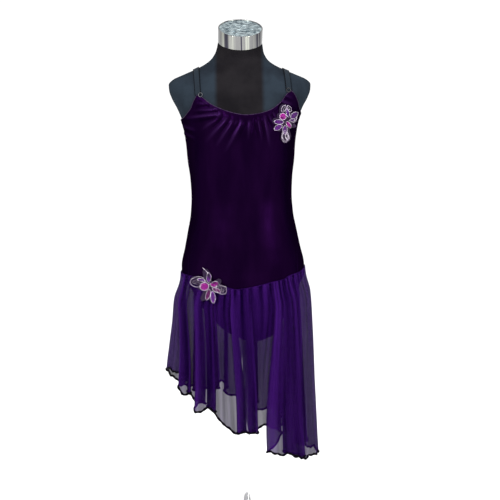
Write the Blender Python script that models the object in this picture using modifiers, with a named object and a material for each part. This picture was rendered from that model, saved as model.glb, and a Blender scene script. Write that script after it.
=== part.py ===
"""A skirted leotard on a limbless dress form.

The cloth is made of thin walls: a camisole front and back down to the gusset, two
straps with their rings, a sheer skirt front and back with box pleats and a diagonal
hem, and two flower appliques. The form has a neck cap, a pole and a round base.
Metres, +Z up, the front of the garment faces -Y, and the base's underside is z = 0.
"""

import math

import bmesh
import bpy
from mathutils import Vector

# Driving dimensions
SEAM_GAP = 0.0003          # between pieces that meet
WALL = 0.0010              # thickness of the stretch cloth and of the sheer cloth
CLOTH_OUT = 0.0015         # from the form to the inside of the stretch cloth
ROUNDNESS = 0.92           # below 1 the sections are fuller than ellipses

FORM_BOTTOM = 0.622
NECK_TOP = 1.186
CAP_RADIUS, CAP_HEIGHT = 0.0525, 0.0340
CAP_TILT = math.radians(23)
EDGE_BEVEL = 0.0015
POLE_RADIUS = 0.0095
BASE_RADIUS, BASE_HEIGHT = 0.150, 0.008
HUB_RADIUS, HUB_HEIGHT = 0.019, 0.022
HUB_NECK, HUB_SHOULDER = 0.7, 0.6        # shares of its radius and height where it slopes
FORM_COLUMNS = 40
POLE_SEGMENTS, BASE_SEGMENTS = 24, 48
RING_SEGMENTS, WIRE_SEGMENTS = 16, 6
BEVEL_SEGMENTS = 2
SHARP_ANGLE = math.radians(40)
MERGE_DISTANCE = 0.00001
ANGLE_STEP, HEIGHT_STEP = 0.5, 0.001     # degrees and metres, for a surface's slope
HALVINGS = 40              # of the span in which a height is looked for
TALL_SPAN = 0.034          # the form gets a row between sections further apart than this

STRAP_WIDTH, STRAP_THICKNESS = 0.014, 0.0012
RING_RADIUS, RING_WIRE = 0.0048, 0.0008
STRAP_STEPS = 20
BAND_WIDTH, BAND_RISE = 0.012, 0.0006
CREASE_FADE = 0.8          # share of a crease's rise that is gone at its far end

FRONT_COLUMNS, FRONT_ROWS = 40, 17
BACK_COLUMNS, BACK_ROWS = 24, 15
BRIEF_ROWS = 6
BRIEF_TOP = 0.634          # below this the panels leave the form and hang
BRIEF_TURN = 0.004         # least height from a leg edge to where its panel leaves the form
BRIEF_FULLNESS = 0.35      # how low the hanging brief stays wide, 0 being the widest
ROW_CROWDING = 0.15        # share by which a panel's rows close up under its top edge
SIDE_INSET = 0.0014        # radians from a side seam's middle to a panel's edge
SKIRT_ROWS = 8
MEAN_HEM, MEAN_DROP = 0.360, 0.350   # the hem's mean height, and the skirt's mean drop
CLOTH_LINE = 0.8           # share of the drop at which the cloth's width is measured
SKIRT_STEP = 6.5           # degrees between the skirt's columns outside its laps
SKIRT_SLACK = 0.0011       # between the leotard and the innermost layer of the skirt
SKIRT_INSET = 0.0016       # radians from a side seam's middle to the skirt's edge
SKIRT_FLARE = 0.060        # below the seam by this much the skirt has its own sections
SKIRT_CROWDING = 1.25      # above 1 the skirt's rows close up under the seam
SIDE_LAYER = -0.3          # the layer of a pleat at which the side seams lie
LAP_GAP_SEAM, LAP_GAP_HEM = 0.0021, 0.0085   # between the layers of a pleat
LAP_NOSE = 0.18            # share of a lap's width that its rounded edge takes
LAP_SPREAD, LAP_SPREAD_POWER = 1.1, 0.8      # how early the pleats open to their hem width

# The form's sections: height, half width, depth in front, depth behind
FORM_SECTIONS = (
    (0.622, 0.1425, 0.0950, 0.1025),
    (0.632, 0.1447, 0.0975, 0.1052),
    (0.655, 0.1446, 0.0998, 0.1092),
    (0.700, 0.1355, 0.0985, 0.1080),
    (0.740, 0.1275, 0.0935, 0.0980),
    (0.780, 0.1200, 0.0870, 0.0860),
    (0.823, 0.1172, 0.0820, 0.0770),
    (0.865, 0.1190, 0.0860, 0.0770),
    (0.910, 0.1245, 0.0960, 0.0810),
    (0.945, 0.1270, 0.1060, 0.0845),
    (0.975, 0.1312, 0.1110, 0.0870),
    (1.005, 0.1380, 0.1070, 0.0890),
    (1.030, 0.1478, 0.0980, 0.0900),
    (1.055, 0.1608, 0.0885, 0.0890),
    (1.073, 0.1667, 0.0820, 0.0865),
    (1.086, 0.1674, 0.0765, 0.0835),
    (1.097, 0.1577, 0.0725, 0.0800),
    (1.108, 0.1340, 0.0685, 0.0755),
    (1.120, 0.1060, 0.0635, 0.0695),
    (1.132, 0.0820, 0.0590, 0.0640),
    (1.145, 0.0655, 0.0552, 0.0590),
    (1.162, 0.0560, 0.0505, 0.0530),
    (1.186, 0.0514, 0.0485, 0.0490),
)
NECK_LEAN_FROM = 1.130     # the neck's sections lean forward above this
NECK_SHIFT = 0.0030        # and stand this far to the wearer's left at its top
# How much lower the form leans towards the wearer's left: height, drop per metre of x
FORM_ROLL = ((1.030, 0.000), (1.085, 0.012), (1.130, 0.016), (1.186, 0.045))

# Top edge of the front: angle round the body in degrees, height
FRONT_TOP = (
    (-180.0, 1.0040), (-157.0, 1.0130), (-138.0, 1.0330), (-127.5, 1.0570),
    (-124.5, 1.0640), (-120.5, 1.0600), (-113.8, 1.0450), (-104.7, 1.0330),
    (-94.5, 1.0235), (-85.5, 1.0190), (-76.0, 1.0210), (-64.0, 1.0290),
    (-55.5, 1.0445), (-50.5, 1.0650), (-46.5, 1.0720), (-44.0, 1.0690),
    (-35.2, 1.0510), (-21.3, 1.0280), (0.0, 1.0120),
)
# Top edge of the back
BACK_TOP = (
    (0.0, 1.0120), (12.0, 1.0075), (24.0, 0.9950), (36.0, 0.9880), (48.0, 0.9880),
    (58.0, 0.9700), (72.0, 0.9450), (90.0, 0.9370), (108.0, 0.9450), (126.0, 0.9700),
    (135.5, 0.9880), (147.5, 0.9880), (158.0, 0.9950), (168.0, 1.0000), (180.0, 1.0040),
)
# Lower edge of the front, along both leg openings and the gusset: angle, x, y, height
FRONT_LEG = (
    (-180.0, -0.1475, -0.0004, 0.6330), (-160.0, -0.1392, -0.0372, 0.6300),
    (-146.0, -0.1215, -0.0565, 0.6080), (-130.0, -0.0965, -0.0700, 0.5660),
    (-114.0, -0.0600, -0.0640, 0.5220), (-102.0, -0.0360, -0.0500, 0.4990),
    (-92.0, -0.0130, -0.0330, 0.4840), (-86.0, 0.0020, -0.0230, 0.4750),
    (-80.0, 0.0185, -0.0010, 0.4670), (-72.0, 0.0330, -0.0006, 0.4680),
    (-62.0, 0.0530, -0.0006, 0.4735), (-52.0, 0.0740, -0.0080, 0.4880),
    (-42.0, 0.0930, -0.0300, 0.5260), (-30.0, 0.1170, -0.0430, 0.5800),
    (-16.0, 0.1418, -0.0315, 0.6290), (0.0, 0.1475, -0.0004, 0.6360),
)
# Lower edge of the back
BACK_LEG = (
    (0.0, 0.1475, 0.0004, 0.6360), (16.0, 0.1412, 0.0335, 0.6260),
    (30.0, 0.1240, 0.0560, 0.5760), (44.0, 0.0990, 0.0560, 0.5180),
    (56.0, 0.0760, 0.0240, 0.4840), (66.0, 0.0530, 0.0006, 0.4735),
    (76.0, 0.0330, 0.0006, 0.4680), (84.0, 0.0185, 0.0010, 0.4670),
    (90.0, 0.0020, 0.0230, 0.4760), (98.0, -0.0160, 0.0380, 0.4850),
    (110.0, -0.0440, 0.0620, 0.5030), (128.0, -0.0850, 0.0780, 0.5420),
    (148.0, -0.1200, 0.0600, 0.5960), (164.0, -0.1412, 0.0335, 0.6270),
    (180.0, -0.1475, 0.0004, 0.6330),
)
# Creases gathered into the neckline: x and height at both ends, rise, half width
CREASES = (
    (-0.044, 1.026, -0.126, 1.012, 0.0026, 0.0050),
    (-0.062, 1.040, -0.102, 1.030, 0.0014, 0.0040),
    (-0.030, 1.016, -0.078, 0.985, 0.0018, 0.0050),
    (-0.020, 1.008, -0.070, 0.955, 0.0016, 0.0050),
    (-0.004, 1.006, -0.042, 0.950, 0.0018, 0.0050),
    (0.012, 1.004, -0.040, 0.915, 0.0014, 0.0050),
    (0.032, 1.006, 0.014, 0.955, 0.0010, 0.0045),
    (0.058, 1.014, 0.076, 0.935, 0.0020, 0.0050),
    (0.066, 1.018, 0.088, 0.998, 0.0012, 0.0040),
)

# Where the skirt is sewn on: angle, height
SKIRT_SEAM = (
    (-180.0, 0.6410), (-150.0, 0.6400), (-120.0, 0.6300), (-106.0, 0.6190),
    (-95.0, 0.6120), (-82.0, 0.6170), (-65.0, 0.6260), (-51.0, 0.6310),
    (-44.0, 0.6380), (-28.0, 0.6420), (0.0, 0.6500), (45.0, 0.6440),
    (90.0, 0.6400), (135.0, 0.6400), (180.0, 0.6410),
)
# The skirt's sections: height, half width right, half width left, front, back
SKIRT_SECTIONS = (
    (0.120, 0.2060, 0.1815, 0.1400, 0.1520),
    (0.200, 0.2040, 0.1778, 0.1380, 0.1490),
    (0.300, 0.2000, 0.1730, 0.1350, 0.1440),
    (0.400, 0.1925, 0.1702, 0.1310, 0.1390),
    (0.470, 0.1820, 0.1683, 0.1270, 0.1340),
    (0.520, 0.1745, 0.1665, 0.1230, 0.1300),
    (0.568, 0.1692, 0.1642, 0.1170, 0.1240),
    (0.605, 0.1606, 0.1602, 0.1110, 0.1180),
    (0.655, 0.1500, 0.1520, 0.1060, 0.1130),
)
# Laps of the skirt's pleats. x of both edges at the seam, x of both edges at the hem,
# and +1 where the cloth climbs to the pleat's face, -1 where it drops back again
FRONT_LAPS = (
    (-0.1400, -0.1370, -0.1560, -0.1420, 1),
    (-0.1260, -0.1225, -0.1400, -0.1270, -1),
    (-0.1040, -0.0900, -0.1170, -0.0930, 1),
    (-0.0860, -0.0650, -0.0900, -0.0670, -1),
    (-0.0290, -0.0160, -0.0200, 0.0030, 1),
    (0.0040, 0.0160, 0.0065, 0.0290, -1),
    (0.0700, 0.0840, 0.0470, 0.0840, 1),
    (0.0880, 0.1130, 0.0860, 0.1320, -1),
)
BACK_LAPS = (
    (0.1240, 0.1180, 0.1440, 0.1180, 1),
    (0.0900, 0.0830, 0.0960, 0.0760, -1),
    (0.0300, 0.0200, 0.0320, 0.0160, 1),
    (0.0080, 0.0010, 0.0130, -0.0040, -1),
    (-0.0380, -0.0430, -0.0420, -0.0540, 1),
    (-0.0700, -0.0770, -0.0650, -0.0860, -1),
    (-0.1060, -0.1120, -0.1130, -0.1320, 1),
    (-0.1310, -0.1350, -0.1450, -0.1600, -1),
)
# The skirt's drop from seam to hem: share of the cloth's width, drop
FRONT_DROP = (
    (0.000, 0.2370), (0.060, 0.2320), (0.108, 0.2320), (0.134, 0.2600), (0.150, 0.2690),
    (0.180, 0.2670), (0.200, 0.2740), (0.214, 0.2880), (0.240, 0.2790), (0.256, 0.2800),
    (0.278, 0.3070), (0.293, 0.3040), (0.312, 0.2900), (0.360, 0.2920), (0.383, 0.3025),
    (0.402, 0.3220), (0.453, 0.3405), (0.487, 0.3320), (0.534, 0.3400), (0.570, 0.3390),
    (0.605, 0.3320), (0.640, 0.3520), (0.682, 0.3900), (0.713, 0.4015), (0.740, 0.4080),
    (0.787, 0.4350), (0.843, 0.4030), (0.873, 0.4175), (0.906, 0.4400), (1.000, 0.4580),
)
BACK_DROP = (
    (0.000, 0.4580), (0.100, 0.4620), (0.220, 0.4400), (0.300, 0.3950), (0.335, 0.3700),
    (0.365, 0.3760), (0.420, 0.3640), (0.500, 0.3440), (0.560, 0.3330), (0.590, 0.3160),
    (0.605, 0.3080), (0.635, 0.3240), (0.700, 0.3180), (0.780, 0.3120), (0.900, 0.2860),
    (1.000, 0.2370),
)

# Straps: name, side, x and height of the front end and of the back end
STRAPS = (
    ("strap_right", -1, (-0.0960, 1.0643), (-0.1072, 0.9886)),
    ("strap_left", 1, (0.1140, 1.0723), (0.1020, 0.9886)),
)
STRAP_RINGS = (("strap_ring_right", -0.0895, 1.0645), ("strap_ring_left", 0.1120, 1.0735))

# Applique petals: direction in degrees, length, half angle of the petal's foot
SHOULDER_PETALS = (
    (96.0, 0.041, 28.0), (136.0, 0.026, 20.0), (40.0, 0.031, 24.0),
    (174.0, 0.031, 24.0), (4.0, 0.026, 18.0), (-34.0, 0.025, 20.0),
    (-92.0, 0.049, 26.0), (-138.0, 0.029, 22.0),
)
HIP_PETALS = (
    (106.0, 0.038, 22.0), (162.0, 0.040, 28.0), (-155.0, 0.022, 22.0),
    (-97.0, 0.038, 18.0), (-66.0, 0.044, 18.0), (-15.0, 0.040, 28.0),
    (22.0, 0.029, 22.0),
)
SHOULDER_CENTRE = (0.1030, 1.0010)
HIP_CENTRE = (-0.0765, 0.6237)
APPLIQUE_CORE = 0.0125
APPLIQUE_THICKNESS = 0.0016
APPLIQUE_SPOKES, APPLIQUE_RINGS = 40, 2
BODICE_CLEARANCE = 0.0013  # from the bodice to an applique's backing, over its creases
HIP_SQUARE = 2.0           # above 1 the hip applique lifts more squarely to the front
HIP_CLEARANCE = 0.0006     # from the leotard to the hip applique above the skirt's seam
PLEAT_CLEARANCE = 0.0040   # from the skirt's outer layer to the hip applique
SEAM_CLEARANCE = 0.0032    # the hip applique's further lift just above the seam
SEAM_LEAD, SEAM_LIFT = 0.016, 0.014   # the lift starts this far above and takes this long

# Base colour, roughness, metallic
FINISHES = {
    "jersey": ((0.012, 0.012, 0.015), 0.85, 0.0),
    "stretch": ((0.010, 0.001, 0.020), 0.45, 0.0),
    "elastic": ((0.010, 0.008, 0.012), 0.60, 0.0),
    "sheer": ((0.020, 0.004, 0.090), 0.60, 0.0),
    "sequin": ((0.300, 0.080, 0.360), 0.30, 0.2),
    "chrome": ((0.800, 0.800, 0.800), 0.12, 1.0),
}


def read(rows, column, at):
    """A table's column at a value of its first column, smooth and without overshoot."""
    if at <= rows[0][0]:
        return rows[0][column]
    if at >= rows[-1][0]:
        return rows[-1][column]
    last = len(rows) - 1
    here = next(i for i in range(last) if at <= rows[i + 1][0])

    def slope(i):
        return (rows[i + 1][column] - rows[i][column]) / (rows[i + 1][0] - rows[i][0])

    def tangent(i):
        if i == 0:
            return slope(0)
        if i == last:
            return slope(last - 1)
        before, after = slope(i - 1), slope(i)
        if before * after <= 0:
            return 0.0
        return 2 * before * after / (before + after)

    span = rows[here + 1][0] - rows[here][0]
    t = (at - rows[here][0]) / span
    return (
        (2 * t**3 - 3 * t**2 + 1) * rows[here][column]
        + (t**3 - 2 * t**2 + t) * span * tangent(here)
        + (3 * t**2 - 2 * t**3) * rows[here + 1][column]
        + (t**3 - t**2) * span * tangent(here + 1)
    )


def ease(share):
    share = min(max(share, 0.0), 1.0)
    return share * share * (3 - 2 * share)


def rounded(value):
    return math.copysign(abs(value) ** ROUNDNESS, value)


def oval(angle, right, left, front, back):
    """A point of a section at an angle in degrees: 0 is +X, -90 the front."""
    c, s = math.cos(math.radians(angle)), math.sin(math.radians(angle))
    x = rounded(c) * (left if c > 0 else right)
    y = rounded(s) * (back if s > 0 else front)
    return x, y


def angle_at(x, half_width, front):
    """The angle at which a section of this half width has this x."""
    c = math.copysign(min(abs(x) / half_width, 1.0) ** (1 / ROUNDNESS), x)
    angle = math.degrees(math.acos(c))
    return -angle if front else angle


def form_surface(angle, height):
    half, front, back = (read(FORM_SECTIONS, column, height) for column in (1, 2, 3))
    x, y = oval(angle, half, half, front, back)
    lean = ease((height - NECK_LEAN_FROM) / (NECK_TOP - NECK_LEAN_FROM))
    z = height + y * math.tan(CAP_TILT) * lean - x * read(FORM_ROLL, 1, height)
    return Vector((x + NECK_SHIFT * lean, y, z))


def on_form(angle, height, out=0.0):
    """A point of the form's surface, moved out along its normal."""
    point = form_surface(angle, height)
    if not out:
        return point
    along = form_surface(angle + ANGLE_STEP, height) - form_surface(angle - ANGLE_STEP, height)
    up = form_surface(angle, height + HEIGHT_STEP) - form_surface(angle, height - HEIGHT_STEP)
    return point + along.cross(up).normalized() * out


def segment_distance(x, z, x1, z1, x2, z2):
    """Distance from a segment, and the share of the way along it."""
    dx, dz = x2 - x1, z2 - z1
    share = ((x - x1) * dx + (z - z1) * dz) / (dx * dx + dz * dz)
    near = min(max(share, 0.0), 1.0)
    return math.hypot(x - x1 - near * dx, z - z1 - near * dz), near


def crease_rise(point):
    """How far the gathers under the neckline lift the front's outer points."""
    total = 0.0
    for x1, z1, x2, z2, rise, half in CREASES:
        away, share = segment_distance(point.x, point.z, x1, z1, x2, z2)
        total += rise * (1 - CREASE_FADE * share) * math.exp(-((away / half) ** 2))
    return total


def panel_column(angle, top_rows, leg_rows, rows, out):
    """One column of a panel: on the form from the top edge, then hanging as the brief."""
    top = read(top_rows, 1, angle)
    edge = Vector([read(leg_rows, column, angle) for column in (1, 2, 3)])
    turn = max(BRIEF_TOP, edge.z + BRIEF_TURN)
    points = []
    for i in range(rows + 1):
        share = i / rows
        drop = (1 - ROW_CROWDING) * share + ROW_CROWDING * share * share
        points.append(on_form(angle, top + (turn - top) * drop, out))
    start = points[-1]
    middle = Vector((start.x, start.y, edge.z + BRIEF_FULLNESS * (start.z - edge.z)))
    inward = Vector((start.x, start.y, 0.0)).normalized()
    end = edge + inward * (out - CLOTH_OUT)
    for i in range(1, BRIEF_ROWS + 1):
        t = i / BRIEF_ROWS
        points.append(start * (1 - t) ** 2 + middle * 2 * t * (1 - t) + end * t * t)
    return points


def make_mesh(name, points, faces):
    mesh = bpy.data.meshes.new(name)
    mesh.from_pydata([tuple(point) for point in points], [], faces)
    mesh.validate()
    return mesh


def wall_mesh(name, inner, outer):
    """A closed wall from two grids of points, both as columns of rows."""
    columns, rows = len(inner), len(inner[0])
    points = [p for column in inner for p in column]
    points += [p for column in outer for p in column]
    shift = columns * rows

    def at(i, j, side):
        return i * rows + j + side * shift

    faces = []
    for i in range(columns - 1):
        for j in range(rows - 1):
            ring = [at(i, j, 1), at(i, j + 1, 1), at(i + 1, j + 1, 1), at(i + 1, j, 1)]
            faces.append(ring)
            faces.append([index - shift for index in reversed(ring)])
    for i in range(columns - 1):
        faces.append([at(i, 0, 1), at(i + 1, 0, 1), at(i + 1, 0, 0), at(i, 0, 0)])
        end = rows - 1
        faces.append([at(i, end, 1), at(i, end, 0), at(i + 1, end, 0), at(i + 1, end, 1)])
    for j in range(rows - 1):
        faces.append([at(0, j, 1), at(0, j, 0), at(0, j + 1, 0), at(0, j + 1, 1)])
        end = columns - 1
        faces.append([at(end, j, 1), at(end, j + 1, 1), at(end, j + 1, 0), at(end, j, 0)])
    return make_mesh(name, points, faces)


def outward(mesh):
    """Turns the faces of a closed mesh outwards."""
    work = bmesh.new()
    work.from_mesh(mesh)
    bmesh.ops.recalc_face_normals(work, faces=work.faces[:])
    work.to_mesh(mesh)
    work.free()


def add_object(name, mesh, finish, collection, smooth=True):
    outward(mesh)
    if smooth:
        mesh.shade_smooth()
        mesh.set_sharp_from_angle(angle=SHARP_ANGLE)
    mesh.materials.append(material(name, finish))
    thing = bpy.data.objects.new(name, mesh)
    collection.objects.link(thing)
    return thing


def material(name, finish):
    colour, roughness, metallic = FINISHES[finish]
    made = bpy.data.materials.new(name)
    made.use_nodes = True
    shader = made.node_tree.nodes["Principled BSDF"]
    shader.inputs["Base Color"].default_value = (*colour, 1.0)
    shader.inputs["Roughness"].default_value = roughness
    shader.inputs["Metallic"].default_value = metallic
    return made


def spread(first, last, count):
    return [first + (last - first) * i / count for i in range(count + 1)]


def add_form(collection):
    """The form's body: rings lofted from the flat bottom to the leaning neck."""
    columns = FORM_COLUMNS
    heights = []
    for low, high in zip(FORM_SECTIONS, FORM_SECTIONS[1:]):
        heights.append(low[0])
        if high[0] - low[0] > TALL_SPAN:
            heights.append((low[0] + high[0]) / 2)
    heights.append(NECK_TOP)
    points = []
    for height in heights:
        points += [form_surface(-180 + 360 * i / columns, height) for i in range(columns)]
    faces = []
    for j in range(len(heights) - 1):
        for i in range(columns):
            k = (i + 1) % columns
            row, above = j * columns, (j + 1) * columns
            faces.append([row + i, row + k, above + k, above + i])
    faces.append(list(range(columns)))
    top = (len(heights) - 1) * columns
    faces.append([top + i for i in range(columns)])
    add_object("form_torso", make_mesh("form_torso", points, faces), "jersey", collection)


def add_cylinder(name, radius, height, segments, centre, axis, bevel, finish, collection):
    work = bmesh.new()
    bmesh.ops.create_cone(work, cap_ends=True, segments=segments, radius1=radius,
                          radius2=radius, depth=height)
    mesh = bpy.data.meshes.new(name)
    work.to_mesh(mesh)
    work.free()
    thing = add_object(name, mesh, finish, collection)
    thing.location = centre
    thing.rotation_mode = "QUATERNION"
    thing.rotation_quaternion = Vector(axis).to_track_quat("Z", "Y")
    if bevel:
        edge = thing.modifiers.new("edge", "BEVEL")
        edge.width = bevel
        edge.segments = BEVEL_SEGMENTS
        edge.limit_method = "ANGLE"


def add_stand(collection):
    """The neck cap, the pole under the form and its round base with a hub."""
    axis = Vector((FORM_ROLL[-1][1], -math.tan(CAP_TILT), 1.0)).normalized()
    cap = Vector((NECK_SHIFT, 0.0, NECK_TOP)) + axis * (SEAM_GAP + CAP_HEIGHT / 2)
    add_cylinder("neck_cap", CAP_RADIUS, CAP_HEIGHT, FORM_COLUMNS, cap, axis,
                 EDGE_BEVEL, "chrome", collection)
    foot = BASE_HEIGHT + SEAM_GAP
    length = FORM_BOTTOM - SEAM_GAP - foot
    upright = (0.0, 0.0, 1.0)
    add_cylinder("stand_pole", POLE_RADIUS, length, POLE_SEGMENTS, (0, 0, foot + length / 2),
                 upright, 0.0, "chrome", collection)
    add_cylinder("stand_base", BASE_RADIUS, BASE_HEIGHT, BASE_SEGMENTS,
                 (0, 0, BASE_HEIGHT / 2), upright, EDGE_BEVEL, "chrome", collection)
    top = foot + HUB_HEIGHT
    inner = POLE_RADIUS + SEAM_GAP
    shoulder = foot + HUB_SHOULDER * HUB_HEIGHT
    profile = ((inner, top), (HUB_NECK * HUB_RADIUS, top), (HUB_RADIUS, shoulder),
               (HUB_RADIUS, foot), (inner, foot))
    add_turned("stand_hub", profile, POLE_SEGMENTS, "chrome", collection)


def add_turned(name, profile, steps, finish, collection):
    """A ring turned about Z from a closed profile of radius and height."""
    count = len(profile)
    mesh = bpy.data.meshes.new(name)
    mesh.from_pydata([(radius, 0.0, height) for radius, height in profile],
                     [(i, (i + 1) % count) for i in range(count)], [])
    thing = add_object(name, mesh, finish, collection, smooth=False)
    turned = thing.modifiers.new("turned", "SCREW")
    turned.steps = steps
    turned.render_steps = steps
    turned.use_merge_vertices = True
    turned.merge_threshold = MERGE_DISTANCE
    turned.use_smooth_shade = True


def seam_inset(angle, first, last):
    """Pulls a panel's first and last column in, to leave the gap of the side seams."""
    inset = math.degrees(SIDE_INSET)
    if angle == first:
        return angle + inset
    if angle == last:
        return angle - inset
    return angle


def panel_angles(top_rows, count):
    """Column angles: every corner of the top edge, and even steps between them."""
    corners = [row[0] for row in top_rows]
    angles = [corners[0]]
    step = (corners[-1] - corners[0]) / count
    for low, high in zip(corners, corners[1:]):
        parts = max(1, round((high - low) / step))
        angles += spread(low, high, parts)[1:]
    return [seam_inset(angle, corners[0], corners[-1]) for angle in angles]


def add_panel(name, top_rows, leg_rows, columns, rows, collection):
    inner, outer = [], []
    for angle in panel_angles(top_rows, columns):
        inside = panel_column(angle, top_rows, leg_rows, rows, CLOTH_OUT)
        outside = panel_column(angle, top_rows, leg_rows, rows, CLOTH_OUT + WALL)
        top = inside[0].z
        for j, point in enumerate(outside):
            normal = (point - inside[j]).normalized()
            rise = BAND_RISE if top - point.z < BAND_WIDTH else 0.0
            if point.y < 0 and j < rows:
                rise += crease_rise(point)
            outside[j] = point + normal * rise
        inner.append(inside)
        outer.append(outside)
    add_object(name, wall_mesh(name, inner, outer), "stretch", collection)


def ridge_height(x):
    """The height of the shoulder's ridge at this x."""
    widest = max(FORM_SECTIONS, key=lambda row: row[1])
    low, high = widest[0], NECK_TOP
    for _ in range(HALVINGS):
        middle = (low + high) / 2
        if read(FORM_SECTIONS, 1, middle) > abs(x):
            low = middle
        else:
            high = middle
    return low


def strap_point(x, t, front_end, back_end, out):
    """A strap's point: t runs from -1 at the front, over the ridge at 0, to 1."""
    end = front_end if t < 0 else back_end
    ridge = ridge_height(x)
    height = end + (ridge - end) * math.cos(t * math.pi / 2)
    angle = angle_at(x, read(FORM_SECTIONS, 1, height), t < 0)
    if abs(t) < 1e-6:
        angle = 180.0 if x < 0 else 0.0
    return on_form(angle, height, out)


def add_strap(name, side, front, back, collection):
    """front and back are the x and height of the strap's ends."""
    inner, outer = [], []
    for part in (-0.5, 0.0, 0.5):
        inside, outside = [], []
        for i in range(STRAP_STEPS + 1):
            t = -1 + 2 * i / STRAP_STEPS
            share = (t + 1) / 2
            x = front[0] + (back[0] - front[0]) * share + part * STRAP_WIDTH * side
            rest = (x, t, front[1], back[1])
            inside.append(strap_point(*rest, CLOTH_OUT))
            outside.append(strap_point(*rest, CLOTH_OUT + STRAP_THICKNESS))
        inner.append(inside)
        outer.append(outside)
    add_object(name, wall_mesh(name, inner, outer), "elastic", collection)


def add_strap_ring(name, x, height, collection):
    """A small wire ring that lies flat over a strap's front end."""
    out = CLOTH_OUT + WALL + BAND_RISE + RING_WIRE
    angle = angle_at(x, read(FORM_SECTIONS, 1, height), True)
    centre = on_form(angle, height, out)
    normal = (centre - on_form(angle, height)).normalized()
    bpy.ops.mesh.primitive_torus_add(major_segments=RING_SEGMENTS,
                                     minor_segments=WIRE_SEGMENTS,
                                     major_radius=RING_RADIUS, minor_radius=RING_WIRE)
    made = bpy.context.object
    mesh = made.data.copy()
    bpy.data.objects.remove(made)
    thing = add_object(name, mesh, "chrome", collection)
    thing.location = centre
    thing.rotation_mode = "QUATERNION"
    thing.rotation_quaternion = normal.to_track_quat("Z", "Y")


def skirt_surface(angle, height, seam):
    """The skirt's mean surface, which leaves the leotard at the seam."""
    right, left, front, back = (read(SKIRT_SECTIONS, c, height) for c in (1, 2, 3, 4))
    x, y = oval(angle, right, left, front, back)
    out = CLOTH_OUT + WALL + SKIRT_SLACK + WALL / 2 + LAP_GAP_SEAM
    sewn = on_form(angle, max(seam, BRIEF_TOP), out)
    share = ease((seam - height) / SKIRT_FLARE)
    return Vector((sewn.x + (x - sewn.x) * share, sewn.y + (y - sewn.y) * share, height))


def passage(before, after, layer):
    """The stations between two laps, from one layer over to the next."""
    count = max(2, math.ceil((after[0] - before[0]) / SKIRT_STEP))
    made = []
    for i in range(1, count):
        share = i / count
        between = [before[k] + (after[k] - before[k]) * share for k in (0, 1)]
        made.append((*between, layer + (after[2] - layer) * ease(share)))
    return made


def lap_stations(laps, front):
    """The pleated path round the skirt as (angle at seam, angle at hem, layer)."""
    first, last = (-180.0, 0.0) if front else (0.0, 180.0)
    seam_half = read(FORM_SECTIONS, 1, BRIEF_TOP) + CLOTH_OUT + WALL + LAP_GAP_SEAM
    inset = math.degrees(SKIRT_INSET)
    stations = [(first + inset, first + inset, SIDE_LAYER)]
    layer = -1
    for seam_a, seam_b, hem_a, hem_b, climb in laps:
        half = read(SKIRT_SECTIONS, 1 if hem_a < 0 else 2, MEAN_HEM)
        start = (angle_at(seam_a, seam_half, front), angle_at(hem_a, half, front))
        end = (angle_at(seam_b, seam_half, front), angle_at(hem_b, half, front))
        nose = [LAP_NOSE * (e - s) for s, e in zip(start, end)]
        stations += passage(stations[-1], (*start, -climb), layer)
        inner = [end[k] - nose[k] for k in (0, 1)]
        outer = [start[k] + nose[k] for k in (0, 1)]
        stations += [
            (*inner, -climb), (*end, -0.5 * climb), (*inner, 0),
            (*outer, 0), (*start, 0.5 * climb), (*outer, climb),
        ]
        layer = climb
    side = (last - inset, last - inset, SIDE_LAYER)
    return stations + passage(stations[-1], side, layer) + [side]


def skirt_point(station, share, drop):
    """A skirt point: share runs from 0 at the seam to 1 at the hem."""
    opened = ease(share * LAP_SPREAD) ** LAP_SPREAD_POWER
    angle = station[0] + (station[1] - station[0]) * opened
    seam = read(SKIRT_SEAM, 1, angle)
    height = seam - drop * share
    point = skirt_surface(angle, height, seam)
    ahead = skirt_surface(angle + ANGLE_STEP, height, seam)
    tangent = (ahead - point).normalized()
    normal = Vector((tangent.y, -tangent.x, 0.0))
    gap = LAP_GAP_SEAM + (LAP_GAP_HEM - LAP_GAP_SEAM) * share
    return point + normal * station[2] * gap


def add_skirt(name, laps, drops, front, collection):
    stations = lap_stations(laps, front)
    lengths = [0.0]
    for one, two in zip(stations, stations[1:]):
        ends = [skirt_point(station, CLOTH_LINE, MEAN_DROP) for station in (one, two)]
        lengths.append(lengths[-1] + (ends[1] - ends[0]).length)
    work = bmesh.new()
    grid = []
    for station, length in zip(stations, lengths):
        drop = read(drops, 1, length / lengths[-1])
        shares = [(i / SKIRT_ROWS) ** SKIRT_CROWDING for i in range(SKIRT_ROWS + 1)]
        grid.append([work.verts.new(skirt_point(station, s, drop)) for s in shares])
    for one, two in zip(grid, grid[1:]):
        for j in range(SKIRT_ROWS):
            work.faces.new((one[j], one[j + 1], two[j + 1], two[j]))
    mesh = bpy.data.meshes.new(name)
    work.to_mesh(mesh)
    work.free()
    thing = add_object(name, mesh, "sheer", collection)
    cloth = thing.modifiers.new("cloth", "SOLIDIFY")
    cloth.thickness = WALL
    cloth.offset = 0.0


def petal_radius(direction, petals):
    """The outline of an applique: the furthest petal in this direction."""
    radius = APPLIQUE_CORE
    for towards, length, half in petals:
        turn = abs((direction - towards + 180) % 360 - 180)
        if turn < half:
            bulge = math.sqrt(max(0.0, 1 - (turn / half) ** 2))
            radius = max(radius, APPLIQUE_CORE + (length - APPLIQUE_CORE) * bulge)
    return radius


def over_bodice(x, z, out):
    angle = angle_at(x, read(FORM_SECTIONS, 1, z), True)
    return on_form(angle, z, CLOTH_OUT + WALL + BODICE_CLEARANCE + out)


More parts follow.
